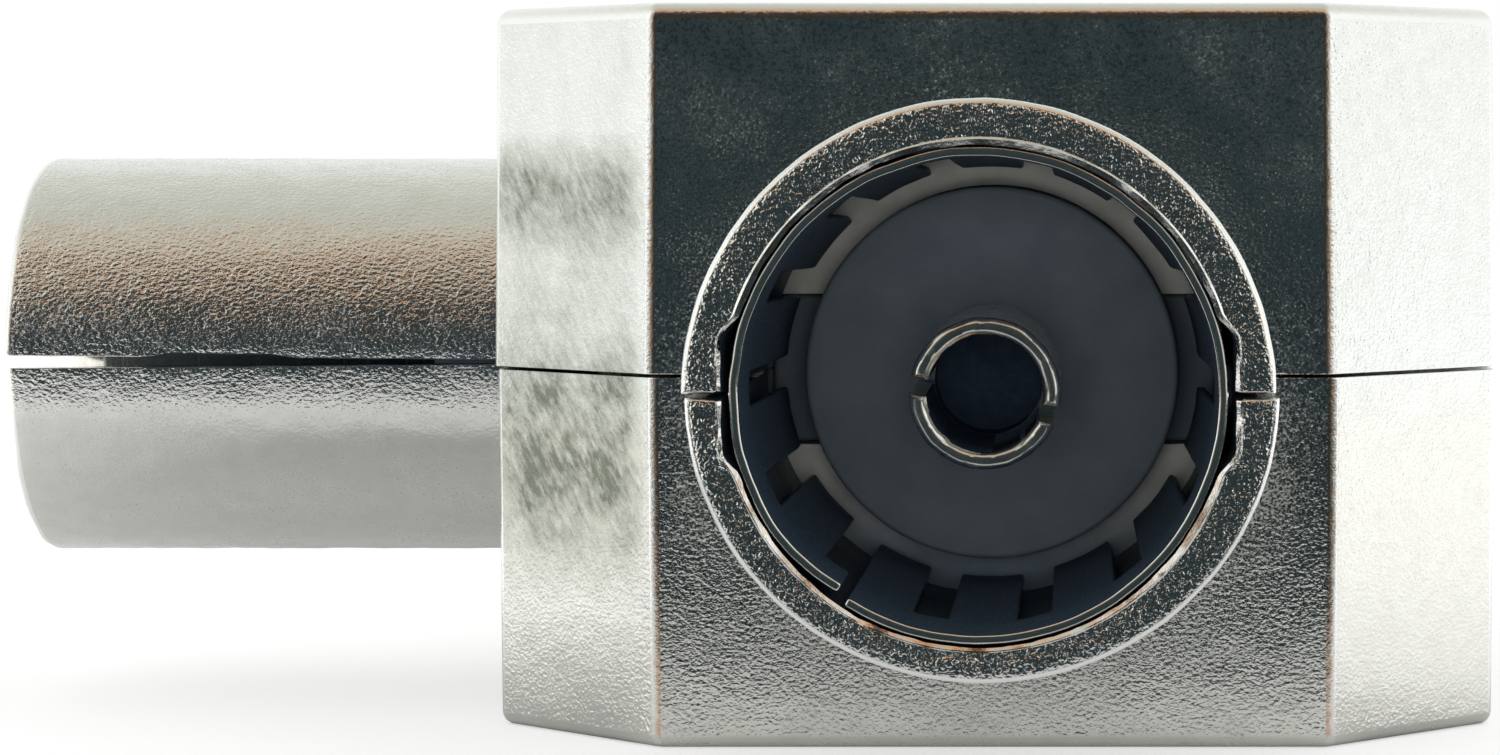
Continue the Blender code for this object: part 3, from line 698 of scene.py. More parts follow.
def weigh_lips(piece, axis, mouth, middle):
    """The outer edge at the mouth is rounded most, then the half ring's ends, then the others."""
    shape = bmesh.new()
    shape.from_mesh(piece.data)
    weight = shape.edges.layers.float.new("bevel_weight_edge")
    for edge in shape.edges:
        if not on_lip(edge, axis, mouth):
            continue
        away = [math.hypot(vert.co[1 - axis], vert.co.z - AXIS_Z) for vert in edge.verts]
        if lies_along(edge, axis):
            edge[weight] = INNER_LIP / OUTER_LIP
        elif abs(away[0] - away[1]) > 0.8 * edge.calc_length():
            edge[weight] = END_LIP / OUTER_LIP
        else:
            edge[weight] = 1.0 if min(away) > middle else INNER_LIP / OUTER_LIP
    shape.to_mesh(piece.data)
    shape.free()


def round_lips(piece, width, finish, profile=0.5):
    """Rounds the weighted edges, and gives the rounding a finish unless that is -1."""
    lips = piece.modifiers.new("lips", "BEVEL")
    lips.width = width
    lips.segments = 4
    lips.profile = profile
    lips.limit_method = "WEIGHT"
    lips.material = finish
    lips.use_clamp_overlap = False
    finish_modifier(piece, lips)


def on_lip(edge, axis, mouth):
    """True for the sharp edges round the mouth and along the slit."""
    faces = edge.link_faces
    if len(faces) != 2 or faces[0].normal.dot(faces[1].normal) > 0.5:
        return False
    return any(abs(vert.co[axis] - mouth) < 0.2 * MM for vert in edge.verts)


def notch(piece):
    """A shallow step where the slit's upper lip was trimmed."""
    for vert in piece.data.vertices:
        along = PLUG_MOUTH + vert.co.x - NOTCH_START
        inside = min(along, NOTCH_LENGTH - along) / (0.15 * MM)
        above = (vert.co.z - AXIS_Z) / (0.6 * MM)
        if inside > 0 and above < 1:
            vert.co.z += NOTCH_DEPTH * min(inside, 1.0) * (1 - above)


def bore_block(piece):
    """The bores, the grooves and the keyways, which the two castings share.

    A groove or an opening is given by its two ends and its radius, a keyway by its two ends and
    its reach to each side."""
    for sign in (-1, 1):
        face = sign * (HALF_SIDE + MM)
        root = sign * (HALF_SIDE - BARREL_ROOT - CASTING_LOOSE)
        shoulder = sign * SOCKET_SHOULDER
        combine(piece, add_round(1, face, root, SOCKET_SEAT, steps=192))
        combine(piece, add_round(1, face, shoulder, SOCKET_BORE + CASTING_LOOSE, steps=192))
        combine(piece, add_round(1, face, sign * CAVITY_SIDE, BOSS_BORE))
        combine(piece, add_round(1, sign * GROOVE[0], sign * GROOVE[1], GROOVE[2]))
        reach = sorted((face, shoulder + sign * 0.03 * MM))
        combine(
            piece,
            add_block(
                (-RELIEF_HALF - CASTING_LOOSE, reach[0], AXIS_Z - RELIEF_HEIGHT / 2),
                (RELIEF_HALF + CASTING_LOOSE, reach[1], AXIS_Z + RELIEF_HEIGHT / 2),
            ),
        )
        reach = sorted((sign * KEYWAY[0], sign * KEYWAY[1]))
        keyway = add_block(
            (-KEYWAY[2], reach[0], AXIS_Z - KEYWAY_HALF), (KEYWAY[2], reach[1], AXIS_Z + KEYWAY_HALF)
        )
        combine(piece, keyway)
    root = -(HALF_SIDE - BARREL_ROOT - CASTING_LOOSE)
    combine(piece, add_round(0, -HALF_SIDE - MM, root, PLUG_SEAT, steps=192))
    combine(piece, add_round(0, -HALF_SIDE - MM, -PLUG_GROOVE[0], PLUG_BORE + CASTING_LOOSE, steps=192))
    combine(piece, add_round(0, -PLUG_GROOVE[0], -PLUG_GROOVE[1], PLUG_GROOVE[2]))
    combine(piece, add_round(0, -PLUG_OPENING[0], -PLUG_OPENING[1], PLUG_OPENING[2]))


def casting(name, side):
    piece = half_block(side)
    piece.name = name
    bore_block(piece)
    for sign in (-1, 1):
        socket = half_barrel(side, "socket", sign)
        roughen(socket, 0.04 * MM, 0.9 * MM)
        roughen(socket, 0.07 * MM, 0.4 * MM, "inner_lip")
        for vert in socket.data.vertices:
            vert.co.y = min(max(vert.co.y, -SOCKET_MOUTH), SOCKET_MOUTH)
        combine(piece, socket, "UNION")
    plug = half_barrel(side, "plug", -1)
    roughen(plug, 0.05 * MM, 0.6 * MM)
    combine(piece, plug, "UNION")
    return piece


upper_casting = casting("upper_casting", 1)
lower_casting = casting("lower_casting", -1)

# Inside the castings: a cavity above the board, a narrower one below it, the board's seat, and the
# pegs with their sockets.
CAVITY = (-7.44 * MM, 9.75 * MM, 4.69 * MM)
WALL = 1.3 * MM
LEDGE = 0.9 * MM
BOARD_SEAT = 6.69 * MM
PEG_RADIUS = 0.9 * MM
PEG_HEIGHT = 2.2 * MM
PEG_EDGE = 0.3 * MM
PEG_HOLE_RADIUS = 0.93 * MM
PEG_HOLE_DEPTH = 2.5 * MM
room_above = add_block(
    (CAVITY[0], -CAVITY[2], AXIS_Z - MM), (CAVITY[1], CAVITY[2], BODY_HEIGHT - WALL)
)
combine(upper_casting, room_above)
room_below = add_block(
    (CAVITY[0], -CAVITY[2] + LEDGE, WALL), (CAVITY[1], CAVITY[2] - LEDGE, AXIS_Z + MM)
)
combine(lower_casting, room_below)
board_seat = add_block((CAVITY[0], -CAVITY[2], BOARD_SEAT), (CAVITY[1], CAVITY[2], AXIS_Z + MM))
combine(lower_casting, board_seat)
PEG_PLACE = 7.956 * MM
POCKET_INSIDE = 4.3 * MM
for x_sign in (-1, 1):
    for y_sign in (-1, 1):
        place = (x_sign * PEG_PLACE, y_sign * PEG_PLACE)
        peg = add_round(2, AXIS_Z - MM, AXIS_Z + PEG_HEIGHT, PEG_RADIUS, across=place, steps=48)
        take(peg)
        pick("EDGE", edge_ends(lambda point: near(point.z, AXIS_Z + PEG_HEIGHT)))
        bpy.ops.mesh.bevel(offset=PEG_EDGE, segments=3, affect="EDGES")
        done()
        combine(lower_casting, peg, "UNION")
        hole_end = AXIS_Z + PEG_HOLE_DEPTH
        hole = add_round(2, AXIS_Z - MM, hole_end, PEG_HOLE_RADIUS, across=place, steps=48)
        combine(upper_casting, hole)


for piece, node in ((upper_casting, "upper_housing"), (lower_casting, "lower_housing")):
    # Painted shade: in each socket, between the shoulder and the mouth, the faces that look towards the
    # axis and the relief pockets take the near-black shaded finish.
    for face in piece.data.polygons:
        place = face.center
        away = Vector((place.x, 0.0, place.z - AXIS_Z))
        in_socket = SOCKET_SHOULDER < abs(place.y) < SOCKET_MOUTH - 0.3 * MM
        inward = face.normal.dot(away) < -0.3 * away.length
        pocket = abs(away.z) < RELIEF_HEIGHT and abs(away.x) > POCKET_INSIDE
        if in_socket and away.length < 5.4 * MM and (inward or pocket):
            face.material_index = SHADED
    smooth(piece)
    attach(piece, "root")
    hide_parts(node)

# The spring sleeves
# A strip of nickel-plated spring metal, slotted and rolled, lies in each socket. Its fourteen
# fingers lean inwards and grip the plug that goes in. The strip's ends leave a small gap.
SLEEVE_MIDDLE = 4.83 * MM
SLEEVE_SHEET = 0.2 * MM
SLEEVE_MOUTH = 19.13 * MM
SLEEVE_RING = 2.53 * MM
SLEEVE_REAR = 9.05 * MM
SLEEVE_LEAN = 0.18 * MM
FINGERS = 14
STEPS_TO_A_FINGER = 18
SLOT_STEPS = 6
SLOT_PLACE = 231.0
GAP_PLACE = 235.3
GAP_BEND_ANGLE = 30.0
GAP_BEND = 0.15 * MM


def clock(place, sign):
    """Degrees from three o'clock, anticlockwise as seen from the mouth of the socket."""
    return math.degrees(math.atan2(place.z - AXIS_Z, -sign * place.x)) % 360.0


def spring_sleeve(name, sign):
    steps = FINGERS * STEPS_TO_A_FINGER
    ring_end = SLEEVE_MOUTH - SLEEVE_RING
    piece = add_round(
        1, sign * SLEEVE_MOUTH, sign * ring_end, SLEEVE_MIDDLE, steps=steps, ends="NOTHING"
    )
    piece.name = name
    take(piece)
    rows = 8
    length = (ring_end - SLEEVE_REAR) / rows
    end = sign * ring_end
    for row in range(rows):
        pick("EDGE", edge_ends(lambda place: near(place.y, end)))
        draw_out((0.0, -sign * length, 0.0))
        end -= sign * length
        keep = 1 - SLEEVE_LEAN / rows / SLEEVE_MIDDLE
        bpy.ops.transform.resize(value=(keep, 1.0, keep), center_override=(0.0, end, AXIS_Z))
    slice_across(1, sign * SLEEVE_MOUTH, sign * ring_end, 0.4 * MM)
    step = 360.0 / steps

    def in_slot(face):
        middle = face.calc_center_median()
        from_slot = (clock(middle, sign) - SLOT_PLACE) % (360.0 / FINGERS)
        from_slot = min(from_slot, 360.0 / FINGERS - from_slot)
        return abs(middle.y) < ring_end and from_slot < SLOT_STEPS / 2 * step

    def in_gap(face):
        away = (clock(face.calc_center_median(), sign) - GAP_PLACE + 180.0) % 360.0 - 180.0
        return abs(away) < step

    pick("FACE", lambda face: in_slot(face) or in_gap(face))
    bpy.ops.mesh.delete(type="FACE")
    done()
    for vert in piece.data.vertices:
        bent = (clock(vert.co, sign) - GAP_PLACE) / GAP_BEND_ANGLE + 1
        if 0 < bent < 1:
            keep = 1 - GAP_BEND * bent * bent / SLEEVE_MIDDLE
            vert.co.x *= keep
            vert.co.z = AXIS_Z + (vert.co.z - AXIS_Z) * keep
    roughen(piece, 0.06 * MM, 1.0 * MM)
    sheet = piece.modifiers.new("sheet", "SOLIDIFY")
    sheet.thickness = SLEEVE_SHEET
    sheet.offset = 0.0
    finish_modifier(piece, sheet)
    coat(piece, SHADED_SPRING_NICKEL)
    piece.data.materials.append(SPRING_RIM)
    round_edges(piece, 0.065 * MM, 3)
    for face in piece.data.polygons:
        if abs(face.center.y) > SLEEVE_MOUTH - 0.09 * MM:
            face.material_index = 1
    smooth(piece)
    return piece


def spring_nickel(name, dark, light, metallic, dull):
    """Rolled strip: smooth, with faint scratches along the socket."""
    made, tree, shader = new_finish(name)
    shader.inputs["Metallic"].default_value = metallic
    scratches = noise(tree, 0.05 * MM, 2.0, stretch=(1.0, 0.08, 1.0))
    lumps = noise(tree, 0.4 * MM)
    bumps(tree, shader, [(lumps, 0.003 * MM), (scratches, 0.001 * MM)])
    paint(tree, shader, "Base Color", lumps, [(0.3, dark), (0.7, light)])
    paint(tree, shader, "Roughness", scratches, [(0.3, grey(dull)), (0.75, grey(dull + 0.1))])
    return made


# Painted shade: the strip's body is coloured a dark blue-grey, as the nickel looks deep in the socket; the
# rim at the mouth keeps a pale nickel colour.
SHADED_SPRING_NICKEL = spring_nickel("spring_nickel", (0.03, 0.055, 0.088), (0.04, 0.07, 0.106), 0.3, 0.42)
SPRING_RIM = spring_nickel("spring_rim", (0.9, 0.88, 0.8), (0.97, 0.96, 0.92), 1.0, 0.1)
for name, node, sign in (
    ("front_sleeve", "front_spring_sleeve", -1),
    ("rear_sleeve", "rear_spring_sleeve", 1),
):
    piece = spring_sleeve(name, sign)
    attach(piece, "root")
    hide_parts(node)

# The sockets' insulators
# Discs moulded in charcoal plastic. A boss stands in the socket, a flange is held in a groove of
# the castings, and two keys in the webs stop the disc turning.
BOSS_FACE = 9.75 * MM
BOSS_RADIUS = 4.08 * MM
FLANGE_FACE = 6.82 * MM
FLANGE_BACK = 5.62 * MM
FLANGE_RADIUS = 5.26 * MM
SHANK_HOLE = 1.03 * MM
KEY_SIDES = (3.18 * MM, 4.96 * MM)
KEY_ENDS = (7.45 * MM, 6.22 * MM)
KEY_HALF = 1.65 * MM


def socket_disc(name, sign):
    piece = add_round(1, sign * BOSS_FACE, sign * FLANGE_FACE, BOSS_RADIUS, steps=128)
    piece.name = name
    take(piece)
    pick("FACE", lambda face: near(face.calc_center_median().y, sign * FLANGE_FACE))
    draw_out((0.0, 0.0, 0.0))
    wider = FLANGE_RADIUS / BOSS_RADIUS
    bpy.ops.transform.resize(
        value=(wider, 1.0, wider), center_override=(0.0, sign * FLANGE_FACE, AXIS_Z)
    )
    deep = sign * (FLANGE_BACK - FLANGE_FACE)
    draw_out((0.0, deep, 0.0))
    done()
    combine(piece, add_round(1, sign * 11 * MM, sign * 5 * MM, SHANK_HOLE, steps=48))
    for side in (-1, 1):
        across = sorted(side * edge for edge in KEY_SIDES)
        along = sorted(sign * end for end in KEY_ENDS)
        key = add_block(
            (across[0], along[0], AXIS_Z - KEY_HALF), (across[1], along[1], AXIS_Z + KEY_HALF)
        )
        combine(piece, key, "UNION")
    round_edges(piece, 0.12 * MM, 3)
    smooth(piece)
    return piece


def charcoal_plastic():
    """Moulded plastic: matte, very slightly mottled, with a fine grain."""
    made, tree, shader = new_finish("charcoal_plastic")
    grain = noise(tree, 0.06 * MM, 3.0)
    mottle = noise(tree, 0.8 * MM, 3.0)
    bumps(tree, shader, [(mottle, 0.004 * MM), (grain, 0.003 * MM)])
    paint(tree, shader, "Base Color", mottle, [(0.3, (0.040, 0.050, 0.060)), (0.7, (0.050, 0.061, 0.071))])
    paint(tree, shader, "Roughness", grain, [(0.3, grey(0.45)), (0.7, grey(0.6))])
    return made


CHARCOAL_PLASTIC = charcoal_plastic()
for name, node, sign in (("front_disc", "front_insulator", -1), ("rear_disc", "rear_insulator", 1)):
    piece = socket_disc(name, sign)
    coat(piece, CHARCOAL_PLASTIC)
    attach(piece, "root")
    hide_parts(node)

# The sockets' contacts
# Turned tubes, plated with nickel, with a saw cut across the mouth so that they grip the pin. A
# thinner shank goes through the disc and ends in a tail that is soldered to the board.
CONTACT_TIP = 18.25 * MM
CONTACT_RADIUS = 1.525 * MM
CONTACT_BORE = 1.15 * MM
CONTACT_SEAT = 9.78 * MM
CONTACT_FLOOR = 11.28 * MM
SHANK_RADIUS = 1.0 * MM
SHANK_END = 4.69 * MM
TAIL_RADIUS = 0.5 * MM
TAIL_END = 3.69 * MM
JAW_COLUMNS = 48
SAW_CUT = 0.3 * MM
SAW_DEPTH = 5.5 * MM
SAW_TURN = -12.0
SAW_DROP = 0.14 * MM
CONTACT_LEAN = 0.1 * MM
CONTACT_LIP = 0.13 * MM
JOINED = 0.005 * MM


def step_down(axis, place, ratio, reach):
    """Narrows the end face at place by ratio and draws it out by reach."""
    pick("FACE", lambda face: near(face.calc_center_median()[axis], place))
    draw_out((0.0, 0.0, 0.0))
    keep = [ratio, ratio, ratio]
    keep[axis] = 1.0
    middle = [0.0, 0.0, AXIS_Z]
    middle[axis] = place
    bpy.ops.transform.resize(value=keep, center_override=middle)
    move = [0.0, 0.0, 0.0]
    move[axis] = reach
    draw_out(move)


def contact_jaw(side, sign):
    """Half of the slotted mouth of a contact: a grid wrapped into a half ring and drawn out."""
    piece = add_grid(JAW_COLUMNS, 1)
    turn = Matrix.Rotation(math.radians(sign * SAW_TURN), 3, "Y")
    middle = Vector((0.0, 0.0, AXIS_Z))
    for vert in piece.data.vertices:
        radius = CONTACT_RADIUS if vert.co.y < 0 else CONTACT_BORE
        start = math.asin((SAW_CUT / 2 - side * SAW_DROP) / radius)
        angle = start + (math.pi - 2 * start) * (vert.co.x + 1) / 2
        ring = Vector((radius * math.cos(angle), 0.0, side * radius * math.sin(angle)))
        vert.co = middle + turn @ ring
        vert.co.y = sign * CONTACT_TIP
    take(piece)
    bpy.ops.mesh.select_all(action="SELECT")
    draw_out((0.0, -sign * SAW_DEPTH, 0.0))
    pick("EDGE", lambda edge: edge.is_boundary)
    bpy.ops.mesh.edge_face_add()
    face_outwards()
    done()
    weigh_lips(piece, 1, sign * CONTACT_TIP, 0.0)
    round_lips(piece, CONTACT_LIP, -1, profile=0.32)
    roughen(piece, 0.03 * MM, 0.25 * MM)
    return piece


def contact_tube(name, sign):
    saw_end = CONTACT_TIP - SAW_DEPTH + 0.1 * MM
    piece = add_round(1, sign * saw_end, sign * CONTACT_SEAT, CONTACT_RADIUS - JOINED, steps=96)
    piece.name = name
    take(piece)
    bore = (CONTACT_BORE + JOINED) / CONTACT_RADIUS
    step_down(1, sign * saw_end, bore, sign * (CONTACT_FLOOR - saw_end))
    shank = SHANK_RADIUS / CONTACT_RADIUS
    step_down(1, sign * CONTACT_SEAT, shank, sign * (SHANK_END - CONTACT_SEAT))
    tail = TAIL_RADIUS / SHANK_RADIUS
    step_down(1, sign * SHANK_END, tail, sign * (TAIL_END - SHANK_END))
    done()
    for side in (-1, 1):
        combine(piece, contact_jaw(side, sign), "UNION")
    for vert in piece.data.vertices:
        out = (abs(vert.co.y) - CONTACT_SEAT) / (CONTACT_TIP - CONTACT_SEAT)
        vert.co.x -= sign * CONTACT_LEAN * max(out, 0.0)
    smooth(piece)
    return piece


def turned_nickel(name, axis):
    """Plated turned metal with fine tool marks round its axis."""
    made, tree, shader = new_finish(name)
    shader.inputs["Metallic"].default_value = 1.0
    squeeze = [0.05, 0.05, 0.05]
    squeeze[axis] = 1.0
    marks = noise(tree, 0.06 * MM, 2.0, stretch=squeeze)
    lumps = noise(tree, 0.3 * MM)
    bumps(tree, shader, [(lumps, 0.003 * MM), (marks, 0.002 * MM)])
    paint(tree, shader, "Base Color", lumps, [(0.3, (0.78, 0.76, 0.68)), (0.7, (0.92, 0.91, 0.86))])
    paint(tree, shader, "Roughness", marks, [(0.3, grey(0.14)), (0.75, grey(0.3))])
    return made


TURNED_NICKEL = turned_nickel("turned_nickel", 1)
# Painted shade: the contact's bore is coloured a near-black navy, as dark as it looks deep inside.
CONTACT_THROAT, tree, shader = new_finish("contact_throat")
shader.inputs["Metallic"].default_value = 0.7
throat_shade_mottle = noise(tree, 0.2 * MM, 3.0)
paint(tree, shader, "Base Color", throat_shade_mottle, [(0.3, (0.022, 0.035, 0.06)), (0.7, (0.035, 0.052, 0.08))])
shader.inputs["Roughness"].default_value = 0.45
for name, node, sign in (("front_tube", "front_contact", -1), ("rear_tube", "rear_contact", 1)):
    piece = contact_tube(name, sign)
    coat(piece, TURNED_NICKEL)
    piece.data.materials.append(CONTACT_THROAT)
    for face in piece.data.polygons:
        away = math.hypot(face.center.x, face.center.z - AXIS_Z)
        along = abs(face.center.y)
        if away < CONTACT_BORE + 0.02 * MM and 10 * MM < along < CONTACT_TIP - 0.3 * MM:
            face.material_index = 1
    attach(piece, "root")
    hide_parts(node)

# The plug's pin and its bush
# The pin is turned and plated like the contacts, with a rounded nose. A bush of the same plastic
# as the discs centres it, held by its flange in a groove of the castings.
PIN_TIP = 22.55 * MM
PIN_RADIUS = 1.2 * MM
PIN_SEAT = 13.12 * MM
PIN_NOSE = 1.1 * MM
PIN_SHANK_END = 7.44 * MM
PIN_TAIL_END = 6.44 * MM
BUSH_FACE = 13.15 * MM
BUSH_RADIUS = 4.07 * MM
BUSH_FLANGE_FACE = 9.57 * MM
BUSH_FLANGE_BACK = 8.37 * MM
BUSH_FLANGE_RADIUS = 5.0 * MM

pin = add_round(0, -PIN_TIP, -PIN_SEAT, PIN_RADIUS, steps=64)
pin.name = "plug_pin_turned"
take(pin)
pick("EDGE", edge_ends(lambda place: near(place.x, -PIN_TIP)))
bpy.ops.mesh.bevel(offset=PIN_NOSE, segments=9, affect="EDGES")
step_down(0, -PIN_SEAT, SHANK_RADIUS / PIN_RADIUS, PIN_SEAT - PIN_SHANK_END)
step_down(0, -PIN_SHANK_END, TAIL_RADIUS / SHANK_RADIUS, PIN_SHANK_END - PIN_TAIL_END)
done()
smooth(pin)
coat(pin, turned_nickel("turned_nickel_pin", 0))
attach(pin, "root")
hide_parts("plug_pin")

bush = add_round(0, -BUSH_FACE, -BUSH_FLANGE_FACE, BUSH_RADIUS, steps=128)
bush.name = "plug_bush"
take(bush)
step_down(
    0, -BUSH_FLANGE_FACE, BUSH_FLANGE_RADIUS / BUSH_RADIUS, BUSH_FLANGE_FACE - BUSH_FLANGE_BACK
)
# A shallow recess in the bush's face.
step_down(0, -BUSH_FACE, 0.86, 0.0)
step_down(0, -BUSH_FACE, 0.97, 0.12 * MM)
done()
combine(bush, add_round(0, -14 * MM, -8 * MM, SHANK_HOLE, steps=48))
round_edges(bush, 0.05 * MM, 2)
smooth(bush)
coat(bush, CHARCOAL_PLASTIC)
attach(bush, "root")
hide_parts("plug_insulator")

# The circuit
# A small green board with two two-hole ferrite cores, their enamelled windings and four chips.
# The CAD nodes have the right shapes, so they stay and take these finishes.


def laminate():
    """Woven glass under green lacquer."""
    made, tree, shader = new_finish("green_laminate")
    across = noise(tree, 0.25 * MM, 1.0, stretch=(1.0, 0.1, 1.0))
    along = noise(tree, 0.25 * MM, 1.0, stretch=(0.1, 1.0, 1.0))
    weave = maths(tree, "MAXIMUM", across, along)
    paint(tree, shader, "Base Color", weave, [(0.4, (0.02, 0.12, 0.05)), (0.7, (0.05, 0.22, 0.09))])
    bumps(tree, shader, [(weave, 0.004 * MM)])
    shader.inputs["Roughness"].default_value = 0.35
    return made


def sintered(name, dark, light, roughness):
    """A fired or pressed body with a fine grain."""
    made, tree, shader = new_finish(name)
    grain = noise(tree, 0.05 * MM, 4.0)
    mottle = noise(tree, 0.4 * MM)
    bumps(tree, shader, [(mottle, 0.004 * MM), (grain, 0.004 * MM)])
    feed(tree, ramp(tree, mottle, [(0.3, dark), (0.7, light)]), shader.inputs["Base Color"])
    shader.inputs["Roughness"].default_value = roughness
    return made


def enamelled_copper():
    made, tree, shader = new_finish("enamelled_copper")
    streaks = noise(tree, 0.1 * MM, 3.0)
    paint(tree, shader, "Base Color", streaks, [(0.3, (0.42, 0.13, 0.03)), (0.7, (0.62, 0.24, 0.07))])
    bumps(tree, shader, [(streaks, 0.002 * MM)])
    shader.inputs["Metallic"].default_value = 0.8
    shader.inputs["Roughness"].default_value = 0.28
    shader.inputs["Coat Weight"].default_value = 0.6
    return made


FERRITE = sintered("ferrite", (0.035, 0.035, 0.04), (0.07, 0.07, 0.075), 0.55)
CHIP_BODY = sintered("chip_body", (0.36, 0.25, 0.16), (0.5, 0.37, 0.25), 0.4)
RESISTOR_BODY = sintered("resistor_body", (0.02, 0.02, 0.025), (0.05, 0.05, 0.055), 0.35)
ENAMELLED_COPPER = enamelled_copper()
CIRCUIT = {
    "circuit_board": laminate(),
    "matching_core": FERRITE,
    "splitting_core": FERRITE,
    "matching_winding": ENAMELLED_COPPER,
    "splitting_winding_a": ENAMELLED_COPPER,
    "splitting_winding_b": ENAMELLED_COPPER,
    "balance_resistor": RESISTOR_BODY,
    "input_capacitor": CHIP_BODY,
    "front_capacitor": CHIP_BODY,
    "rear_capacitor": CHIP_BODY,
}
for name, made in CIRCUIT.items():
    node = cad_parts[name]
    for place in node.material_slots:
        place.material = made

# The floor
# A plain white table that ends before the camera and keeps the object's shadow. It glows a little to the
# camera.
# Mirrors see painted light and shade on it: it glows brighter beside the object, in a strip in front of it
# and under it, and turns dark grey further in front.
FLOOR_SIDE = 1.2
FLOOR_FRONT = 0.075
bpy.ops.mesh.primitive_plane_add(size=1.0, location=(0.0, 0.0, 0.0))
floor = bpy.context.object
floor.name = "floor"
take(floor)
bpy.ops.mesh.select_all(action="SELECT")
bpy.ops.transform.resize(value=(FLOOR_SIDE, FLOOR_SIDE, 1.0), center_override=(0.0, 0.0, 0.0))
pick("EDGE", edge_ends(lambda place: place.y < 0))
bpy.ops.transform.translate(value=(0.0, FLOOR_SIDE / 2 - FLOOR_FRONT, 0.0))
done()
white, tree, shader = new_finish("white_table")
paper = noise(tree, 20 * MM, 2.0)
paint(tree, shader, "Base Color", paper, [(0.3, grey(0.56)), (0.7, grey(0.58))])
shader.inputs["Roughness"].default_value = 0.9
shader.inputs["Emission Color"].default_value = (0.5, 0.5, 0.5, 1.0)
seen = add_node(tree, "LightPath")
axes = axes_of(tree)
aside = maths(tree, "ABSOLUTE", axes["X"])
lit = span(tree, aside, 18 * MM, 40 * MM, 0.0, 1.5)
right = span(tree, axes["X"], 11 * MM, 17 * MM, 0.0, 0.9)
lit = maths(tree, "MAXIMUM", lit, right)
strip = span(tree, axes["Y"], -10 * MM, -13 * MM, 0.0, 0.48)
away = maths(tree, "ABSOLUTE", axes["Y"])
below = span(tree, away, 9 * MM, 3 * MM, 0.0, 0.33)
brighter = maths(tree, "MAXIMUM", maths(tree, "MAXIMUM", lit, strip), below)
mirrored = maths(tree, "MULTIPLY", brighter, seen.outputs["Is Glossy Ray"])
shining = maths(tree, "MAXIMUM", seen.outputs["Is Camera Ray"], mirrored)
feed(tree, shining, shader.inputs["Emission Strength"])
plug_side = span(tree, axes["X"], -9 * MM, -12 * MM, 0.0, 4.5 * MM)
nearer = maths(tree, "ADD", axes["Y"], plug_side)
shade = span(tree, nearer, -25.5 * MM, -20 * MM, 1.0, 0.14)
hidden = maths(tree, "MULTIPLY", shade, seen.outputs["Is Glossy Ray"])
dim = add_node(tree, "Emission", {"Color": (0.02, 0.03, 0.035, 1.0)})
both = add_node(tree, "MixShader")
feed(tree, hidden, both.inputs[0])
feed(tree, shader.outputs[0], both.inputs[1])
feed(tree, dim.outputs[0], both.inputs[2])
feed(tree, both.outputs[0], tree.nodes["Material Output"].inputs["Surface"])
coat(floor, white)

# The light
# A white tent with an opening for the camera: dark straight ahead, brown at the opening's edge and
# white elsewhere. Only mirrors see it. The camera and dull surfaces see plain white.
OPENING_RISE = math.radians(6)
tent = bpy.data.worlds.new("light_tent")
bpy.context.scene.world = tent
tent.use_nodes = True
tree = tent.node_tree
tree.nodes.clear()
facing = add_node(tree, "TexCoord")
opening = add_node(tree, "VectorMath", operation="DOT_PRODUCT")
opening.inputs[1].default_value = (0.0, -math.cos(OPENING_RISE), math.sin(OPENING_RISE))
feed(tree, facing.outputs["Generated"], opening.inputs[0])
plain = ramp(
    tree,
    opening.outputs["Value"],
    [
        (0.06, (0.95, 0.975, 0.95)),
        (0.28, (1.22, 1.21, 1.18)),
        (0.45, (0.98, 0.96, 0.91)),
        (0.64, (0.52, 0.51, 0.48)),
        (0.86, (0.065, 0.068, 0.066)),
        (0.95, (0.020, 0.033, 0.037)),
    ],
)
warm = ramp(
    tree,
    opening.outputs["Value"],
    [
        (0.15, (0.98, 1.0, 0.98)),
        (0.44, (0.74, 0.71, 0.66)),
        (0.52, (1.15, 0.78, 0.53)),
        (0.63, (1.00, 0.61, 0.40)),
        (0.72, (0.17, 0.12, 0.095)),
        (0.80, (0.032, 0.032, 0.034)),
        (0.95, (0.020, 0.033, 0.037)),
    ],
)
height = add_node(tree, "SeparateXYZ")
feed(tree, facing.outputs["Generated"], height.inputs[0])
above = span(tree, height.outputs["Z"], 0.4, 0.55)
beside = maths(tree, "ABSOLUTE", height.outputs["X"])
above = maths(tree, "MULTIPLY", above, span(tree, beside, 0.6, 0.42))
colours = add_node(tree, "Mix", data_type="RGBA")
MIX_FIRST, MIX_SECOND, MIX_RESULT = 6, 7, 2
feed(tree, above, colours.inputs["Factor"])
feed(tree, plain, colours.inputs[MIX_FIRST])
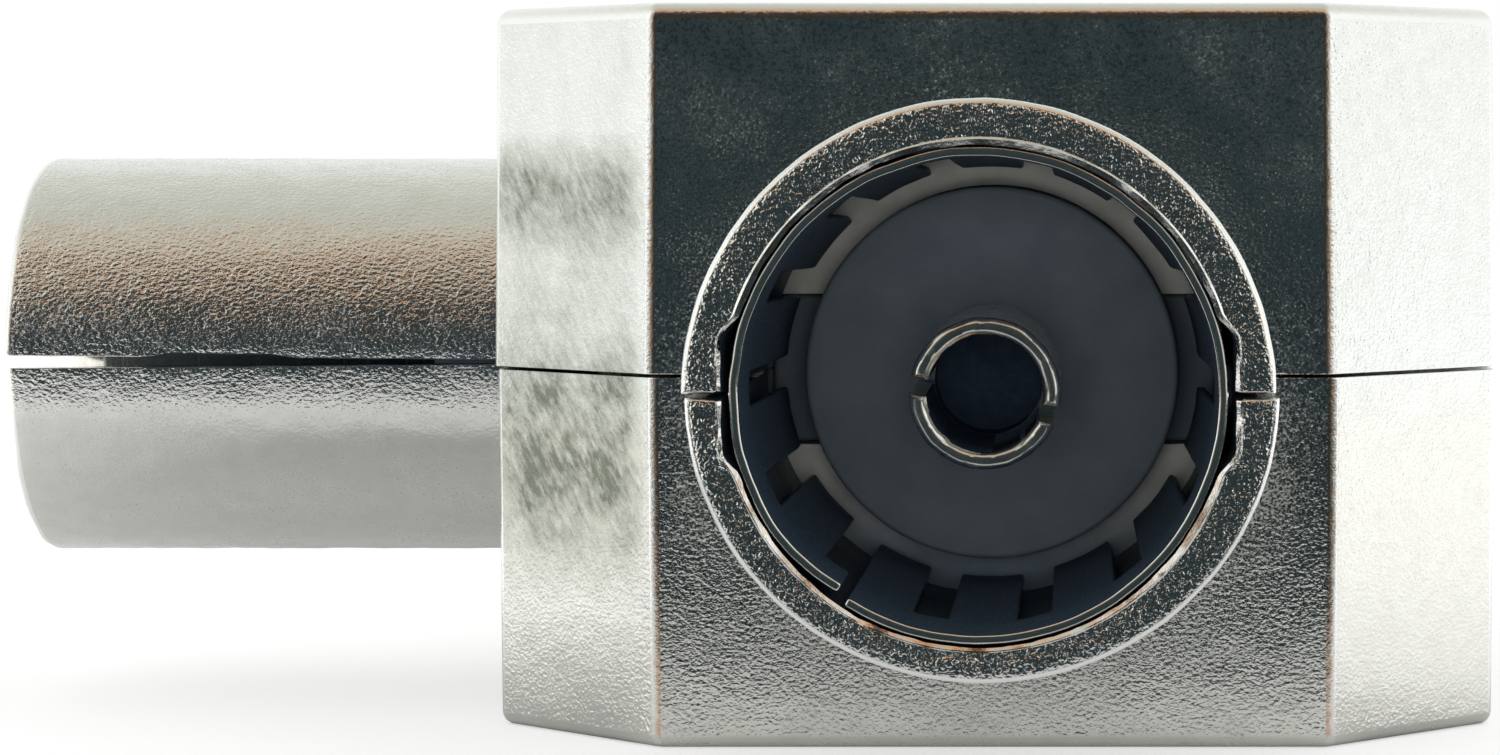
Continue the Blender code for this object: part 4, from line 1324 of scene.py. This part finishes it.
feed(tree, warm, colours.inputs[MIX_SECOND])
colours = colours.outputs[MIX_RESULT]
roof = ramp(tree, height.outputs["Z"], [(0.35, (1.0, 1.0, 1.0)), (0.95, (0.55, 0.54, 0.49))])
tent_light = add_node(tree, "Background", {"Strength": 1.0})
feed(tree, multiplied(tree, colours, roof), tent_light.inputs["Color"])
backdrop = add_node(tree, "Background", {"Color": (1.0, 1.0, 1.0, 1.0), "Strength": 1.0})
seen = add_node(tree, "LightPath")
either = add_node(tree, "MixShader")
feed(tree, seen.outputs["Is Glossy Ray"], either.inputs[0])
feed(tree, backdrop.outputs[0], either.inputs[1])
feed(tree, tent_light.outputs[0], either.inputs[2])
world_end = add_node(tree, "OutputWorld")
feed(tree, either.outputs[0], world_end.inputs["Surface"])

# A soft lamp low behind the camera fills the sockets. Mirrors don't show it.
FILL_PLACE = (2 * MM, -260 * MM, -8 * MM)
fill_data = bpy.data.lights.new("fill", "AREA")
fill_data.energy = 0.7
fill_data.size = 120 * MM
fill = bpy.data.objects.new("fill", fill_data)
bpy.context.scene.collection.objects.link(fill)
fill.location = FILL_PLACE
fill.rotation_euler = (Vector((0.0, 0.0, AXIS_Z)) - Vector(FILL_PLACE)).to_track_quat(
    "-Z", "Y"
).to_euler()
fill.visible_glossy = False

# The camera
# Just right of the socket's axis and a little under the top, looking almost straight at the front.
CAMERA_PLACE = (2.5 * MM, -98.275 * MM, 12.38 * MM)
FOCAL_LENGTH = 97.1
PITCH = 1.063
camera_data = bpy.data.cameras.new("camera")
camera = bpy.data.objects.new("camera", camera_data)
bpy.context.scene.collection.objects.link(camera)
camera.location = CAMERA_PLACE
camera.rotation_euler = (math.radians(90 - PITCH), 0.0, 0.0)
camera_data.sensor_width = 36.0
camera_data.lens = FOCAL_LENGTH
camera_data.shift_x = -0.2373
camera_data.shift_y = -0.085
camera_data.clip_start = 5 * MM
camera_data.clip_end = 10.0
bpy.context.scene.camera = camera
bpy.context.scene.view_settings.view_transform = "Standard"

bpy.context.view_layer.update()
